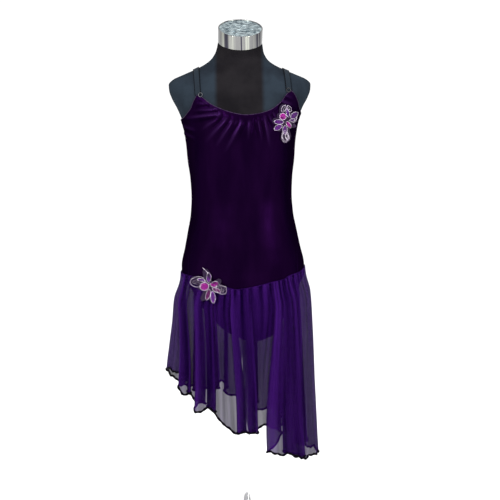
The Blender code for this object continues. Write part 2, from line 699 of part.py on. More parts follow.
def over_hip(x, z, out):
    """Over the leotard above the skirt's seam, and over the skirt's pleats below it."""
    angle = angle_at(x, read(FORM_SECTIONS, 1, max(z, FORM_BOTTOM)), True)
    seam = read(SKIRT_SEAM, 1, angle)
    over = 2 * LAP_GAP_SEAM + WALL + SEAM_CLEARANCE
    lift = over * ease((seam + SEAM_LEAD - z) / SEAM_LIFT)
    if z > seam:
        return on_form(angle, z, CLOTH_OUT + WALL + HIP_CLEARANCE + lift + out)
    point = skirt_surface(angle, z, seam)
    normal = Vector((point.x, point.y * HIP_SQUARE, 0.0)).normalized()
    return point + normal * (LAP_GAP_SEAM + WALL / 2 + PLEAT_CLEARANCE + out)


def add_applique(name, centre, petals, place, collection):
    """A thin flower whose two faces follow the cloth under it."""
    faces, points = [], []
    rings = APPLIQUE_RINGS
    for out in (0.0, APPLIQUE_THICKNESS):
        points.append(place(*centre, out))
        for j in range(1, rings + 1):
            for i in range(APPLIQUE_SPOKES):
                direction = 360 * i / APPLIQUE_SPOKES
                radius = petal_radius(direction, petals) * j / rings
                x = centre[0] + radius * math.cos(math.radians(direction))
                z = centre[1] + radius * math.sin(math.radians(direction))
                points.append(place(x, z, out))
    shift = 1 + rings * APPLIQUE_SPOKES
    for i in range(APPLIQUE_SPOKES):
        k = (i + 1) % APPLIQUE_SPOKES
        for low in (0, shift):
            faces.append([low, low + 1 + i, low + 1 + k])
            for j in range(rings - 1):
                a, b = low + 1 + j * APPLIQUE_SPOKES, low + 1 + (j + 1) * APPLIQUE_SPOKES
                faces.append([a + i, b + i, b + k, a + k])
        rim = 1 + (rings - 1) * APPLIQUE_SPOKES
        faces.append([rim + i, rim + k, shift + rim + k, shift + rim + i])
    add_object(name, make_mesh(name, points, faces), "sequin", collection)


def main():
    for thing in list(bpy.data.objects):
        bpy.data.objects.remove(thing)
    collection = bpy.data.collections.new("skirted_leotard_on_form")
    bpy.context.scene.collection.children.link(collection)
    add_form(collection)
    add_stand(collection)
    add_panel("leotard_front", FRONT_TOP, FRONT_LEG, FRONT_COLUMNS, FRONT_ROWS, collection)
    add_panel("leotard_back", BACK_TOP, BACK_LEG, BACK_COLUMNS, BACK_ROWS, collection)
    for strap in STRAPS:
        add_strap(*strap, collection)
    for ring in STRAP_RINGS:
        add_strap_ring(*ring, collection)
    add_skirt("skirt_front", FRONT_LAPS, FRONT_DROP, True, collection)
    add_skirt("skirt_back", BACK_LAPS, BACK_DROP, False, collection)
    add_applique("applique_shoulder", SHOULDER_CENTRE, SHOULDER_PETALS, over_bodice,
                 collection)
    add_applique("applique_hip", HIP_CENTRE, HIP_PETALS, over_hip, collection)


main()
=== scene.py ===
"""The looks of a skirted leotard on a limbless dress form.

Stretch cloth with gathers, elastic straps, a sheer pleated skirt with a rolled hem and
two beaded flowers, with the form, neck cap, pole and base that carry them. Every piece
follows the sizes of the frame's solids. Metres, +Z up, the front faces -Y.
"""

import math

import bmesh
import bpy
import numpy as np
from mathutils import Matrix, Vector, noise


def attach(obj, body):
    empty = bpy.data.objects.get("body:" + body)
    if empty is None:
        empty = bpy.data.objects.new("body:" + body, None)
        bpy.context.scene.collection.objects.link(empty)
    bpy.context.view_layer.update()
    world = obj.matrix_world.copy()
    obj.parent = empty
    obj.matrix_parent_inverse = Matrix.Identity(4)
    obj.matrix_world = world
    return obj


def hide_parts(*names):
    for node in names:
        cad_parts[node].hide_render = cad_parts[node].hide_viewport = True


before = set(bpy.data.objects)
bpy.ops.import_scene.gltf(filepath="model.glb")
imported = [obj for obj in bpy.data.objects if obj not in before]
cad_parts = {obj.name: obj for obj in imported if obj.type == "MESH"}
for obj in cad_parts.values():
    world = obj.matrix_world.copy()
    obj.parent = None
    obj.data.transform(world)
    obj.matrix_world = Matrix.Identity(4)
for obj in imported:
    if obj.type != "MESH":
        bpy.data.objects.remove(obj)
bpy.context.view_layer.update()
SEED = 11

# Sizes shared with the frame's solids
SEAM_GAP = 0.0003
WALL = 0.0010
CLOTH_OUT = 0.0015         # from the form to the inside of the stretch cloth
ROUNDNESS = 0.92           # below 1 the sections are fuller than ellipses
FORM_BOTTOM, NECK_TOP = 0.622, 1.186
CAP_RADIUS, CAP_HEIGHT = 0.0525, 0.0340
CAP_TILT = math.radians(23)
POLE_RADIUS = 0.0095
BASE_RADIUS, BASE_HEIGHT = 0.150, 0.008
HUB_RADIUS, HUB_HEIGHT = 0.019, 0.022
HUB_SHOULDER, HUB_NECK = 0.6, 0.7    # shares of the hub's height and radius
STRAP_WIDTH, STRAP_THICKNESS = 0.014, 0.0012
BAND_WIDTH = 0.012
BRIEF_TOP = 0.634          # below this the panels leave the form and hang
BRIEF_TURN = 0.004
BRIEF_FULLNESS = 0.35
ROW_CROWDING = 0.15
SKIRT_STEP = 6.5
SKIRT_SLACK = 0.0011
SKIRT_INSET = 0.0016
SKIRT_FLARE = 0.060        # below the seam by this much the skirt has its own sections
SIDE_LAYER = -0.3
LAP_GAP_SEAM, LAP_GAP_HEM = 0.0021, 0.0085
LAP_NOSE = 0.18
LAP_SPREAD, LAP_SPREAD_POWER = 1.1, 0.8
MEAN_HEM, MEAN_DROP = 0.360, 0.350
APPLIQUE_THICKNESS = 0.0016
BODICE_CLEARANCE = 0.0013
HIP_CLEARANCE, PLEAT_CLEARANCE = 0.0006, 0.0040
SEAM_CLEARANCE = 0.0032
SEAM_LEAD, SEAM_LIFT = 0.016, 0.014
SHOULDER_CENTRE = (0.1030, 1.0010)
HIP_CENTRE = (-0.0765, 0.6237)

# The form's sections: height, half width, depth in front, depth behind
FORM_SECTIONS = (
    (0.622, 0.1425, 0.0950, 0.1025),
    (0.632, 0.1447, 0.0975, 0.1052),
    (0.655, 0.1446, 0.0998, 0.1092),
    (0.700, 0.1355, 0.0985, 0.1080),
    (0.740, 0.1275, 0.0935, 0.0980),
    (0.780, 0.1200, 0.0870, 0.0860),
    (0.823, 0.1172, 0.0820, 0.0770),
    (0.865, 0.1190, 0.0860, 0.0770),
    (0.910, 0.1245, 0.0960, 0.0810),
    (0.945, 0.1270, 0.1060, 0.0845),
    (0.975, 0.1312, 0.1110, 0.0870),
    (1.005, 0.1380, 0.1070, 0.0890),
    (1.030, 0.1478, 0.0980, 0.0900),
    (1.055, 0.1608, 0.0885, 0.0890),
    (1.073, 0.1667, 0.0820, 0.0865),
    (1.086, 0.1674, 0.0765, 0.0835),
    (1.097, 0.1577, 0.0725, 0.0800),
    (1.108, 0.1340, 0.0685, 0.0755),
    (1.120, 0.1060, 0.0635, 0.0695),
    (1.132, 0.0820, 0.0590, 0.0640),
    (1.145, 0.0655, 0.0552, 0.0590),
    (1.162, 0.0560, 0.0505, 0.0530),
    (1.186, 0.0514, 0.0485, 0.0490),
)
NECK_LEAN_FROM = 1.130
NECK_SHIFT = 0.0030
# How much lower the form leans towards the wearer's left: height, drop per metre of x
FORM_ROLL = ((1.030, 0.000), (1.085, 0.012), (1.130, 0.016), (1.186, 0.045))
SHOULDER_RIDGE = 1.086     # where the shoulders are widest

# Top edge of the front: angle round the body in degrees, height
FRONT_TOP = (
    (-180.0, 1.0040), (-157.0, 1.0130), (-138.0, 1.0330), (-127.5, 1.0570),
    (-124.5, 1.0640), (-120.5, 1.0600), (-113.8, 1.0450), (-104.7, 1.0330),
    (-94.5, 1.0235), (-85.5, 1.0190), (-76.0, 1.0210), (-64.0, 1.0290),
    (-55.5, 1.0445), (-50.5, 1.0650), (-46.5, 1.0720), (-44.0, 1.0690),
    (-35.2, 1.0510), (-21.3, 1.0280), (0.0, 1.0120),
)
NECKLINE = (-124.5, -46.5)   # the angles of its two corners
# Top edge of the back
BACK_TOP = (
    (0.0, 1.0120), (12.0, 1.0075), (24.0, 0.9950), (36.0, 0.9880), (48.0, 0.9880),
    (58.0, 0.9700), (72.0, 0.9450), (90.0, 0.9370), (108.0, 0.9450), (126.0, 0.9700),
    (135.5, 0.9880), (147.5, 0.9880), (158.0, 0.9950), (168.0, 1.0000), (180.0, 1.0040),
)
# Lower edge of the front, along both leg openings and the gusset: angle, x, y, height
FRONT_LEG = (
    (-180.0, -0.1475, -0.0004, 0.6330), (-160.0, -0.1392, -0.0372, 0.6300),
    (-146.0, -0.1215, -0.0565, 0.6080), (-130.0, -0.0965, -0.0700, 0.5660),
    (-114.0, -0.0600, -0.0640, 0.5220), (-102.0, -0.0360, -0.0500, 0.4990),
    (-92.0, -0.0130, -0.0330, 0.4840), (-86.0, 0.0020, -0.0230, 0.4750),
    (-80.0, 0.0185, -0.0010, 0.4670), (-72.0, 0.0330, -0.0006, 0.4680),
    (-62.0, 0.0530, -0.0006, 0.4735), (-52.0, 0.0740, -0.0080, 0.4880),
    (-42.0, 0.0930, -0.0300, 0.5260), (-30.0, 0.1170, -0.0430, 0.5800),
    (-16.0, 0.1418, -0.0315, 0.6290), (0.0, 0.1475, -0.0004, 0.6360),
)
# Lower edge of the back
BACK_LEG = (
    (0.0, 0.1475, 0.0004, 0.6360), (16.0, 0.1412, 0.0335, 0.6260),
    (30.0, 0.1240, 0.0560, 0.5760), (44.0, 0.0990, 0.0560, 0.5180),
    (56.0, 0.0760, 0.0240, 0.4840), (66.0, 0.0530, 0.0006, 0.4735),
    (76.0, 0.0330, 0.0006, 0.4680), (84.0, 0.0185, 0.0010, 0.4670),
    (90.0, 0.0020, 0.0230, 0.4760), (98.0, -0.0160, 0.0380, 0.4850),
    (110.0, -0.0440, 0.0620, 0.5030), (128.0, -0.0850, 0.0780, 0.5420),
    (148.0, -0.1200, 0.0600, 0.5960), (164.0, -0.1412, 0.0335, 0.6270),
    (180.0, -0.1475, 0.0004, 0.6330),
)
# Creases in the front: x and height at both ends, rise, half width
CREASES = (
    (-0.046, 1.021, -0.136, 1.009, 0.0046, 0.0042),
    (-0.050, 1.032, -0.112, 1.028, 0.0026, 0.0036),
    (-0.066, 1.046, -0.104, 1.043, 0.0016, 0.0034),
    (-0.044, 1.017, -0.090, 0.982, 0.0032, 0.0045),
    (-0.030, 1.010, -0.080, 0.955, 0.0034, 0.0048),
    (-0.016, 1.006, -0.056, 0.945, 0.0032, 0.0042),
    (-0.006, 1.004, -0.040, 0.960, 0.0018, 0.0038),
    (0.006, 1.004, -0.036, 0.930, 0.0027, 0.0045),
    (0.024, 1.006, 0.020, 0.960, 0.0018, 0.0036),
    (0.040, 1.008, 0.050, 0.950, 0.0024, 0.0038),
    (0.054, 1.013, 0.066, 0.940, 0.0034, 0.0045),
    (0.065, 1.017, 0.082, 0.985, 0.0022, 0.0036),
    (0.074, 1.022, 0.092, 1.000, 0.0018, 0.0034),
    (0.094, 1.048, 0.126, 1.034, 0.0034, 0.0048),
    (0.106, 1.060, 0.124, 1.050, 0.0018, 0.0036),
    (-0.134, 0.990, -0.100, 0.982, 0.0020, 0.0045),
    (-0.132, 0.975, -0.104, 0.962, 0.0016, 0.0045),
)
DEEPEST_CREASE = 0.0046    # the greatest rise in the table

# Where the skirt is sewn on: angle, height
SKIRT_SEAM = (
    (-180.0, 0.6410), (-150.0, 0.6400), (-120.0, 0.6300), (-106.0, 0.6190),
    (-95.0, 0.6120), (-82.0, 0.6170), (-65.0, 0.6260), (-51.0, 0.6310),
    (-44.0, 0.6380), (-28.0, 0.6420), (0.0, 0.6500), (45.0, 0.6440),
    (90.0, 0.6400), (135.0, 0.6400), (180.0, 0.6410),
)
# The skirt's sections: height, half width right, half width left, front, back
SKIRT_SECTIONS = (
    (0.120, 0.2060, 0.1815, 0.1400, 0.1520),
    (0.200, 0.2040, 0.1778, 0.1380, 0.1490),
    (0.300, 0.2000, 0.1730, 0.1350, 0.1440),
    (0.400, 0.1925, 0.1702, 0.1310, 0.1390),
    (0.470, 0.1820, 0.1683, 0.1270, 0.1340),
    (0.520, 0.1745, 0.1665, 0.1230, 0.1300),
    (0.568, 0.1692, 0.1642, 0.1170, 0.1240),
    (0.605, 0.1606, 0.1602, 0.1110, 0.1180),
    (0.655, 0.1500, 0.1520, 0.1060, 0.1130),
)
# Laps of the skirt's pleats. x of both edges at the seam, x of both edges at the hem,
# and +1 where the cloth climbs to the pleat's face, -1 where it drops back again
FRONT_LAPS = (
    (-0.1400, -0.1370, -0.1560, -0.1420, 1),
    (-0.1260, -0.1225, -0.1400, -0.1270, -1),
    (-0.1040, -0.0900, -0.1170, -0.0930, 1),
    (-0.0860, -0.0650, -0.0900, -0.0670, -1),
    (-0.0290, -0.0160, -0.0200, 0.0030, 1),
    (0.0040, 0.0160, 0.0065, 0.0290, -1),
    (0.0700, 0.0840, 0.0470, 0.0840, 1),
    (0.0880, 0.1130, 0.0860, 0.1320, -1),
)
BACK_LAPS = (
    (0.1240, 0.1180, 0.1440, 0.1180, 1),
    (0.0900, 0.0830, 0.0960, 0.0760, -1),
    (0.0300, 0.0200, 0.0320, 0.0160, 1),
    (0.0080, 0.0010, 0.0130, -0.0040, -1),
    (-0.0380, -0.0430, -0.0420, -0.0540, 1),
    (-0.0700, -0.0770, -0.0650, -0.0860, -1),
    (-0.1060, -0.1120, -0.1130, -0.1320, 1),
    (-0.1310, -0.1350, -0.1450, -0.1600, -1),
)
# The skirt's drop from seam to hem: share of the cloth's width, drop
FRONT_DROP = (
    (0.000, 0.2370), (0.060, 0.2320), (0.108, 0.2320), (0.134, 0.2600), (0.150, 0.2690),
    (0.180, 0.2670), (0.200, 0.2740), (0.214, 0.2880), (0.240, 0.2790), (0.256, 0.2800),
    (0.278, 0.3070), (0.293, 0.3040), (0.312, 0.2900), (0.360, 0.2920), (0.383, 0.3025),
    (0.402, 0.3220), (0.453, 0.3405), (0.487, 0.3320), (0.534, 0.3400), (0.570, 0.3390),
    (0.605, 0.3320), (0.640, 0.3520), (0.682, 0.3900), (0.713, 0.4015), (0.740, 0.4080),
    (0.787, 0.4350), (0.843, 0.4030), (0.873, 0.4175), (0.906, 0.4400), (1.000, 0.4580),
)
BACK_DROP = (
    (0.000, 0.4580), (0.100, 0.4620), (0.220, 0.4400), (0.300, 0.3950), (0.335, 0.3700),
    (0.365, 0.3760), (0.420, 0.3640), (0.500, 0.3440), (0.560, 0.3330), (0.590, 0.3160),
    (0.605, 0.3080), (0.635, 0.3240), (0.700, 0.3180), (0.780, 0.3120), (0.900, 0.2860),
    (1.000, 0.2370),
)

# Finer sizes that only the looks have
CLOTH_THICKNESS = 0.0008
PANEL_INSET = 0.0014       # angle in radians from a panel's side edge to the side seam
HEM_RADIUS, PIPING_RADIUS, TAPE_RADIUS = 0.0026, 0.0008, 0.0010
PIPING_OUT, LEG_PIPING = 0.0001, 1.2   # out from the top edge, thicker at the legs
# The band along the top edges stands proud, with a stitched groove under it
BAND_RISE, BAND_LEAD, BAND_SLOPE = 0.0005, 0.001, 0.0012
GROOVE_DEPTH, GROOVE_DROP, GROOVE_WIDTH = 0.0004, 0.0006, 0.0007
# Seams down the front of the hips: their x, depth, width, and where they fade out
HIP_SEAMS = (-0.1270, 0.1275)
HIP_SEAM_DEPTH, HIP_SEAM_WIDTH, HIP_SEAM_TOP, HIP_SEAM_FADE = 0.0005, 0.0012, 0.735, 0.06
# A crease along its line: where it ends and over what share it fades, where it starts
CREASE_END, CREASE_END_FADE, CREASE_START, CREASE_START_FADE = 1.08, 0.90, -0.10, 0.22
# The trough below a crease: its place and width in half widths, its depth, and how dark its
# painted shade is
TROUGH_PLACE, TROUGH_WIDTH, TROUGH_DEPTH, TROUGH_SHADE = -1.9, 0.9, 0.42, 0.5
# Painted highlight on a crease's upper flank: its place in half widths, and its strength
FLANK_PLACE, FLANK_LIGHT = 0.35, 1.7
# How deep a trough may go, and where below the top edge the creases begin
LOWEST_TROUGH, CREASES_FROM, CREASES_OVER = -0.0010, 0.0005, 0.004
# Small gathers under the band: height, inset from the corners, fade to the side and down
GATHER_RISE, GATHER_INSET, GATHER_SIDE, GATHER_FADE = 0.00030, 6, 8, 0.011
# The strap's raised edge: height, from what share of the width, over what share
LIP_RISE, LIP_FROM, LIP_OVER = 0.00025, 0.36, 0.10
WEB_MIDDLE, WEB_THICKNESS = 0.45, 0.8      # shares of the strap's thickness
# The form's lower lip: its height, then share of the width and drop of each turn
LIP_HEIGHT = 0.003
LIP_TURNS = ((0.985, 0.0030), (0.997, 0.0014))
# The neck cap's rim, and the film inside it
RIM_WIDTH, RIM_DEPTH, RIM_ROUNDING = 0.0030, 0.0022, 0.0009
FILM_INSET, FILM_DEPTH = 0.0032, 0.0012
# Painted reflections in the neck band, as dark upright streaks: x, half width
BAND_PAINTED_REFLECTIONS = ((-0.0285, 0.0062), (0.0060, 0.0024), (0.0430, 0.0028), (0.0492, 0.0020))
STREAK_CORE = 0.4
# x where the jersey's dark centre gives way to its sides
JERSEY_CHANGE = (0.050, 0.060)
# x from the strap's middle where its darker edge begins
STRAP_EDGE = (0.0050, 0.0062)
# Pitch of the knit, threads, ribs and stitches
JERSEY_PITCH, STRETCH_PITCH, CHIFFON_PITCH = 0.0011, 0.0007, 0.0006
RIB_PITCH, STITCH_PITCH, BACKING_PITCH = 0.0012, 0.0012, 0.0012
# Waves along the skirt's cloth: height, length, start
HEM_WAVES = ((0.0026, 0.047, 0.6), (0.0020, 0.083, 2.1), (0.0012, 0.021, 0.0))
# How the hem's roll swells along it: share of its radius, length, start
HEM_ROLL = ((0.18, 0.012, 0.0),)
# Wrinkles as shares of the gap between layers: height, length, start, turn down the skirt
WRINKLES = ((0.19, 0.019, 0.0, 3.0), (0.13, 0.0113, 1.0, -5.0))
WRINKLE_HEIGHT, HEM_WRINKLES, WRINKLE_FADE = 0.25, 0.30, 0.3
# Sway of the skirt: height, waves round it, start, waves for each metre of height
SWAYS = ((0.0020, 7, 0.0, 9), (0.0014, 13, 1.7, -14))
SEWN_PINCH, SEWN_LENGTH = 0.45, 0.008      # the layers lie closer by the seam
# The skirt's shade: between pleats, on a pleat, and a pleat's light edges as height,
# place and width
PANEL_SHADE, PLEAT_SHADE = 0.30, 0.18
PLEAT_LIGHTS = ((0.72, 0.10, 0.15), (0.40, 0.96, 0.07))
# The shade at the top of a pleat, how far it falls, from where and over what share
SHADE_TOP, SHADE_FALL, SHADE_FROM, SHADE_OVER = 1.15, 0.30, 0.10, 0.45
# The shade of ripples, and of the gathers by the seam: their reach, least and most light
RIPPLE_LIGHT, SEAM_REACH, SEAM_LIGHT, SEAM_RIPPLE, RIPPLE_MOST = 0.08, 0.030, 0.25, 0.75, 0.4
# The seam tape's ruching: height and turns, then how uneven it is and turns
RUCHE_RISE, RUCHE_TURNS, TAPE_BUMPS, TAPE_TURNS = 0.0004, 160, 0.2, 240
# The film's crumples: waves for each metre across and along, height, and a finer set
CRUMPLES = (90, 150, 0.0011)
FINE_CRUMPLES = (2.3, 0.0006)

# How finely the pieces are divided: columns or steps round, rows
FORM_GRID, FILM_GRID, STRAP_GRID = (144, 150), (96, 26), (120, 12)
FRONT_GRID, BACK_GRID = (220, 190), (150, 130)
BODY_SHARE = 0.72          # the share of a panel's rows that lies on the form
SKIRT_ROWS, SKIRT_PITCH = 96, 0.0018
LENGTH_ROW, ROW_POWER = 0.8, 1.1     # the row that gives the skirt's length, rows' spacing
TUBE_SIDES, TAPE_STEPS, CAP_STEPS, RIDGE_STEPS = 10, 420, 128, 800
ANGLE_STEP, HEIGHT_STEP = 0.5, 0.001 # degrees and metres that slopes are read over
SPOT_STEP = 0.0005
# Edges that turn by more than this stay sharp
FORM_SHARP, CAP_SHARP, STAND_SHARP = math.radians(50), math.radians(60), 1.0

# Panels: node, top edge, lower edge, divisions, flat size, flat area
PANELS = (
    ("leotard_front", FRONT_TOP, FRONT_LEG, FRONT_GRID, (0.42, 0.62), 0.186),
    ("leotard_back", BACK_TOP, BACK_LEG, BACK_GRID, (0.41, 0.54), 0.162),
)
# Straps: node, side, x and height of the front end, of the back end, flat length
STRAPS = (
    ("strap_right", -1, (-0.0960, 1.0643), (-0.1072, 0.9886), 0.290),
    ("strap_left", 1, (0.1140, 1.0723), (0.1020, 0.9886), 0.268),
)
# Skirt halves: node, laps, drops, what they rest on, flat size, flat area
SKIRTS = (
    ("skirt_front", FRONT_LAPS, FRONT_DROP, "leotard_front_cloth", (1.10, 0.46), 0.297),
    ("skirt_back", BACK_LAPS, BACK_DROP, "leotard_back_cloth", (0.98, 0.47), 0.278),
)
# Seam tape: name, first angle, last angle
SEAM_TAPES = (("skirt_seam_front", -179.9, -0.1), ("skirt_seam_back", 0.1, 179.9))

# The photograph's viewing angle, worked out from the ovals of the cap and the form
CAMERA_PLACE = (0.01776, -3.5605, 1.2221)
CAMERA_TILT, CAMERA_ROLL = math.radians(81.5), math.radians(-1.0)
# Lights: name, place, aim, size, watts
LIGHTS = (
    ("key_light", (-1.7, -2.8, 2.6), (0.0, 0.0, 0.85), (0.8, 1.0), 80),
    ("fill_light", (2.2, -2.4, 1.6), (0.0, 0.0, 0.75), (0.5, 1.2), 36),
    ("top_light", (0.3, -0.6, 3.2), (0.0, 0.0, 1.0), (1.6, 1.0), 40),
)
WORLD_LIGHT, FLOOR_TONE, FLOOR_RADIUS = 1.10, 0.94, 14.0

# Finishes that vary in uneven patches of one size: material, first colour, roughness,
# metal, gloss, size of the patches, detail, low and high end, darkest, lightest
MOTTLED = {
    "ring": ("ring_metal", (0.04, 0.04, 0.045), 0.42, 0.8, 0.5, 0.002, 3.0, 0.35, 0.65,
             (0.015, 0.015, 0.018), (0.07, 0.07, 0.075)),
    "edge": ("turned_edge", (0.030, 0.016, 0.040), 0.45, 0.0, 0.10, 0.006, 2.0, 0.35, 0.65,
             (0.012, 0.004, 0.020), (0.034, 0.018, 0.048)),
    "seam": ("skirt_seam", (0.012, 0.001, 0.034), 0.55, 0.0, 0.01, 0.004, 2.0, 0.35, 0.65,
             (0.006, 0.0005, 0.020), (0.018, 0.002, 0.050)),
}
# Beads and sequins: material, darkest, lightest, metal, roughness
BEADS = {
    "silver": ("silver_beads", (0.34, 0.26, 0.38), (0.92, 0.84, 0.94), 0.5, 0.24),
    "magenta": ("magenta_beads", (0.09, 0.002, 0.085), (0.50, 0.035, 0.40), 0.35, 0.25),
    "purple": ("purple_sequins", (0.022, 0.002, 0.050), (0.100, 0.010, 0.172), 0.4, 0.32),
    "wine": ("wine_sequins", (0.020, 0.001, 0.022), (0.110, 0.008, 0.090), 0.4, 0.32),
    "dull": ("dull_sequins", (0.010, 0.002, 0.024), (0.045, 0.014, 0.080), 0.3, 0.40),
}
BEAD_GLOSS, BEAD_PATCH, BEAD_ENDS = 0.20, 0.0022, (0.38, 0.62)
BEAD_TILT = 0.16
PETAL_POINT, DOME_POINT = 1.35, 1.6  # above 1 the petal's ends are pointed
FILL_REACH, FILL_STAGGER = 14, 0.87  # a filling's rows to each side, and their spacing
INNER_OUTLINE = 0.78
# Loops in a leaf: place along it and width as shares of the leaf, then their length
LACE_LOOPS, LOOP_LENGTH = ((-0.16, 0.34), (0.20, 0.26)), 1.2
# Rows of beads in millimetres: pitch, distance out, radius
OUTLINE_ROW, INNER_ROW, LOOP_ROW = (1.42, 1.0, 0.64), (1.3, 1.0, 0.62), (1.9, 1.0, 0.42)
RING_ROW, STEM_ROW = (1.35, 1.0, 0.72), (1.3, 1.1, 0.75)
# Filled places in millimetres: pitch, share filled, distance out, rise of the dome, radius
CLUSTER_FILL, DISC_FILL = (1.75, 0.86, 0.7, 1.0, 0.98), (1.75, 0.92, 0.7, 1.6, 1.00)
SEQUIN_FILL, GRAIN_FILL = (2.0, 0.90, 0.5, 0.8, 1.45), (6.5, 0.70, 0.6, 0.0, 0.42)

# Beadwork, in millimetres from the flower's centre. Pointed ovals: x, z, length, width,
# direction in degrees, what fills them. Discs: x, z, radius. Stems: the points they follow
HIP_PETALS = (
    (14.3, 2.7, 18.5, 14.5, 4.0, "magenta"),
    (-0.5, 18.2, 22.0, 9.5, 98.0, "purple"),
    (-8.5, 24.0, 12.0, 4.5, 128.0, "dull"),
    (-21.5, 6.5, 32.0, 25.0, 192.0, "lace"),
    (-15.4, 12.0, 17.0, 7.5, 175.0, "purple"),
    (29.5, -9.0, 27.0, 20.0, -48.0, "lace"),
    (20.0, -11.5, 20.0, 9.0, -28.0, "wine"),
    (4.0, -22.0, 25.0, 9.0, -93.0, "wine"),
    (14.3, -27.5, 28.0, 9.0, -76.0, "purple"),
)
HIP_DISCS = ((-5.9, -3.7, 9.3),)
HIP_STEMS = (((-2.7, 26.7), (-8.0, 32.5), (-14.7, 38.5)),)
SHOULDER_PETALS = (
    (-4.6, 29.5, 17.0, 9.0, 62.0, "lace"),
    (7.6, 29.5, 16.0, 8.5, 112.0, "lace"),
    (3.8, 20.0, 20.0, 7.5, 98.0, "purple"),
    (18.5, 14.0, 21.0, 12.5, 38.0, "purple"),
    (13.0, 3.2, 14.0, 5.0, 8.0, "purple"),
    (-16.5, 0.2, 22.0, 10.5, 175.0, "purple"),
    (-18.6, -12.0, 20.0, 11.0, 208.0, "purple"),
    (5.0, -7.0, 18.0, 9.0, -58.0, "magenta"),
    (-3.5, -19.0, 21.0, 10.5, -92.0, "purple"),
    (-3.5, -33.5, 28.0, 15.0, -89.0, "open"),
    (1.0, -34.0, 18.0, 8.0, -70.0, "open"),
    (18.5, -10.0, 13.0, 6.5, -46.0, "dull"),
)
SHOULDER_DISCS = ((-7.2, 11.9, 7.2),)
SHOULDER_STEMS = (((11.5, -0.8), (17.0, -2.0), (21.5, 2.4), (23.8, 8.4)),)


def smooth_table(rows):
    """Each further column of a table as a smooth function of its first, without overshoot."""
    data = np.array(rows, dtype=float)
    knots = data[:, 0]

    def column(values):
        slopes = np.diff(values) / np.diff(knots)
        before, after = slopes[:-1], slopes[1:]
        same = before * after > 0
        middle = np.zeros(len(before))
        middle[same] = 2 * before[same] * after[same] / (before[same] + after[same])
        tangents = np.concatenate([slopes[:1], middle, slopes[-1:]])

        def at(x):
            x = np.clip(x, knots[0], knots[-1])
            i = np.clip(np.searchsorted(knots, x, side="right") - 1, 0, len(knots) - 2)
            span = knots[i + 1] - knots[i]
            t = (x - knots[i]) / span
            return (
                (2 * t**3 - 3 * t**2 + 1) * values[i]
                + (t**3 - 2 * t**2 + t) * span * tangents[i]
                + (3 * t**2 - 2 * t**3) * values[i + 1]
                + (t**3 - t**2) * span * tangents[i + 1]
            )

        return at

    return [column(data[:, k]) for k in range(1, data.shape[1])]


FORM_HALF, FORM_FRONT, FORM_BACK = smooth_table(FORM_SECTIONS)
ROLL_AT = smooth_table(FORM_ROLL)[0]
SKIRT_RIGHT, SKIRT_LEFT, SKIRT_FRONT, SKIRT_BACK = smooth_table(SKIRT_SECTIONS)
SEAM_AT = smooth_table(SKIRT_SEAM)[0]


def ease(share):
    share = np.clip(share, 0.0, 1.0)
    return share * share * (3 - 2 * share)


def hill(value, middle, width):
    """1 at the middle of a smooth rise of this width, and 0 far from it."""
    return np.exp(-(((value - middle) / width) ** 2))


def bent(start, corner, end, share):
    """Points of a curve from start to end that is drawn towards a corner."""
    return start * (1 - share)**2 + corner * 2 * share * (1 - share) + end * share * share


def rounded(value):
    return np.sign(value) * np.abs(value) ** ROUNDNESS


def oval(angle, right, left, front, back):
    """Points of sections at angles in degrees: 0 is +X, -90 the front."""
    c, s = np.cos(np.radians(angle)), np.sin(np.radians(angle))
    x = rounded(c) * np.where(c > 0, left, right)
    y = rounded(s) * np.where(s > 0, back, front)
    return x, y


def angle_at(x, half_width, front=True):
    """The angle at which a section of this half width has this x."""
    c = np.sign(x) * np.minimum(np.abs(x) / half_width, 1.0) ** (1 / ROUNDNESS)
    angle = np.degrees(np.arccos(c))
    return -angle if front else angle


def unit(vectors):
    return vectors / np.maximum(np.linalg.norm(vectors, axis=-1, keepdims=True), 1e-12)


def form_surface(angle, height):
    x, y = oval(angle, FORM_HALF(height), FORM_HALF(height), FORM_FRONT(height),
                FORM_BACK(height))
    lean = ease((height - NECK_LEAN_FROM) / (NECK_TOP - NECK_LEAN_FROM))
    z = height + y * math.tan(CAP_TILT) * lean - x * ROLL_AT(height)
    x = x + NECK_SHIFT * lean
    return np.stack(np.broadcast_arrays(x, y, z), axis=-1)


def on_form(angle, height, out):
    """Points of the form's surface, moved out along its normals."""
    angle, height, out = np.broadcast_arrays(angle, height, out)
    left, right = (form_surface(angle + k * ANGLE_STEP, height) for k in (1, -1))
    above, below = (form_surface(angle, height + k * HEIGHT_STEP) for k in (1, -1))
    normal = unit(np.cross(left - right, above - below))
    return form_surface(angle, height) + normal * out[..., None]


def skirt_surface(angle, height, seam):
    """The skirt's mean surface, which leaves the leotard at the seam."""
    x, y = oval(angle, SKIRT_RIGHT(height), SKIRT_LEFT(height), SKIRT_FRONT(height),
                SKIRT_BACK(height))
    out = CLOTH_OUT + WALL + SKIRT_SLACK + WALL / 2 + LAP_GAP_SEAM
    sewn = on_form(angle, np.maximum(seam, BRIEF_TOP), out)
    share = ease((seam - height) / SKIRT_FLARE)
    x = sewn[..., 0] + (x - sewn[..., 0]) * share
    y = sewn[..., 1] + (y - sewn[..., 1]) * share
    return np.stack([x, y, np.broadcast_to(height, x.shape)], axis=-1)


# Meshes

def finish_mesh(name, mesh, finish, replaces=(), smooth=True, sharp=None):
    """Makes the mesh a piece that rides on the part and has its finish."""
    if smooth:
        mesh.shade_smooth()
    if sharp:
        mesh.set_sharp_from_angle(angle=sharp)
    mesh.materials.append(finish)
    piece = bpy.data.objects.new(name, mesh)
    bpy.context.scene.collection.objects.link(piece)
    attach(piece, "root")
    if replaces:
        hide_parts(*replaces)
    return piece


def written(work, name):
    """The finished bmesh as a mesh of this name."""
    mesh = bpy.data.meshes.new(name)
    work.to_mesh(mesh)
    work.free()
    return mesh


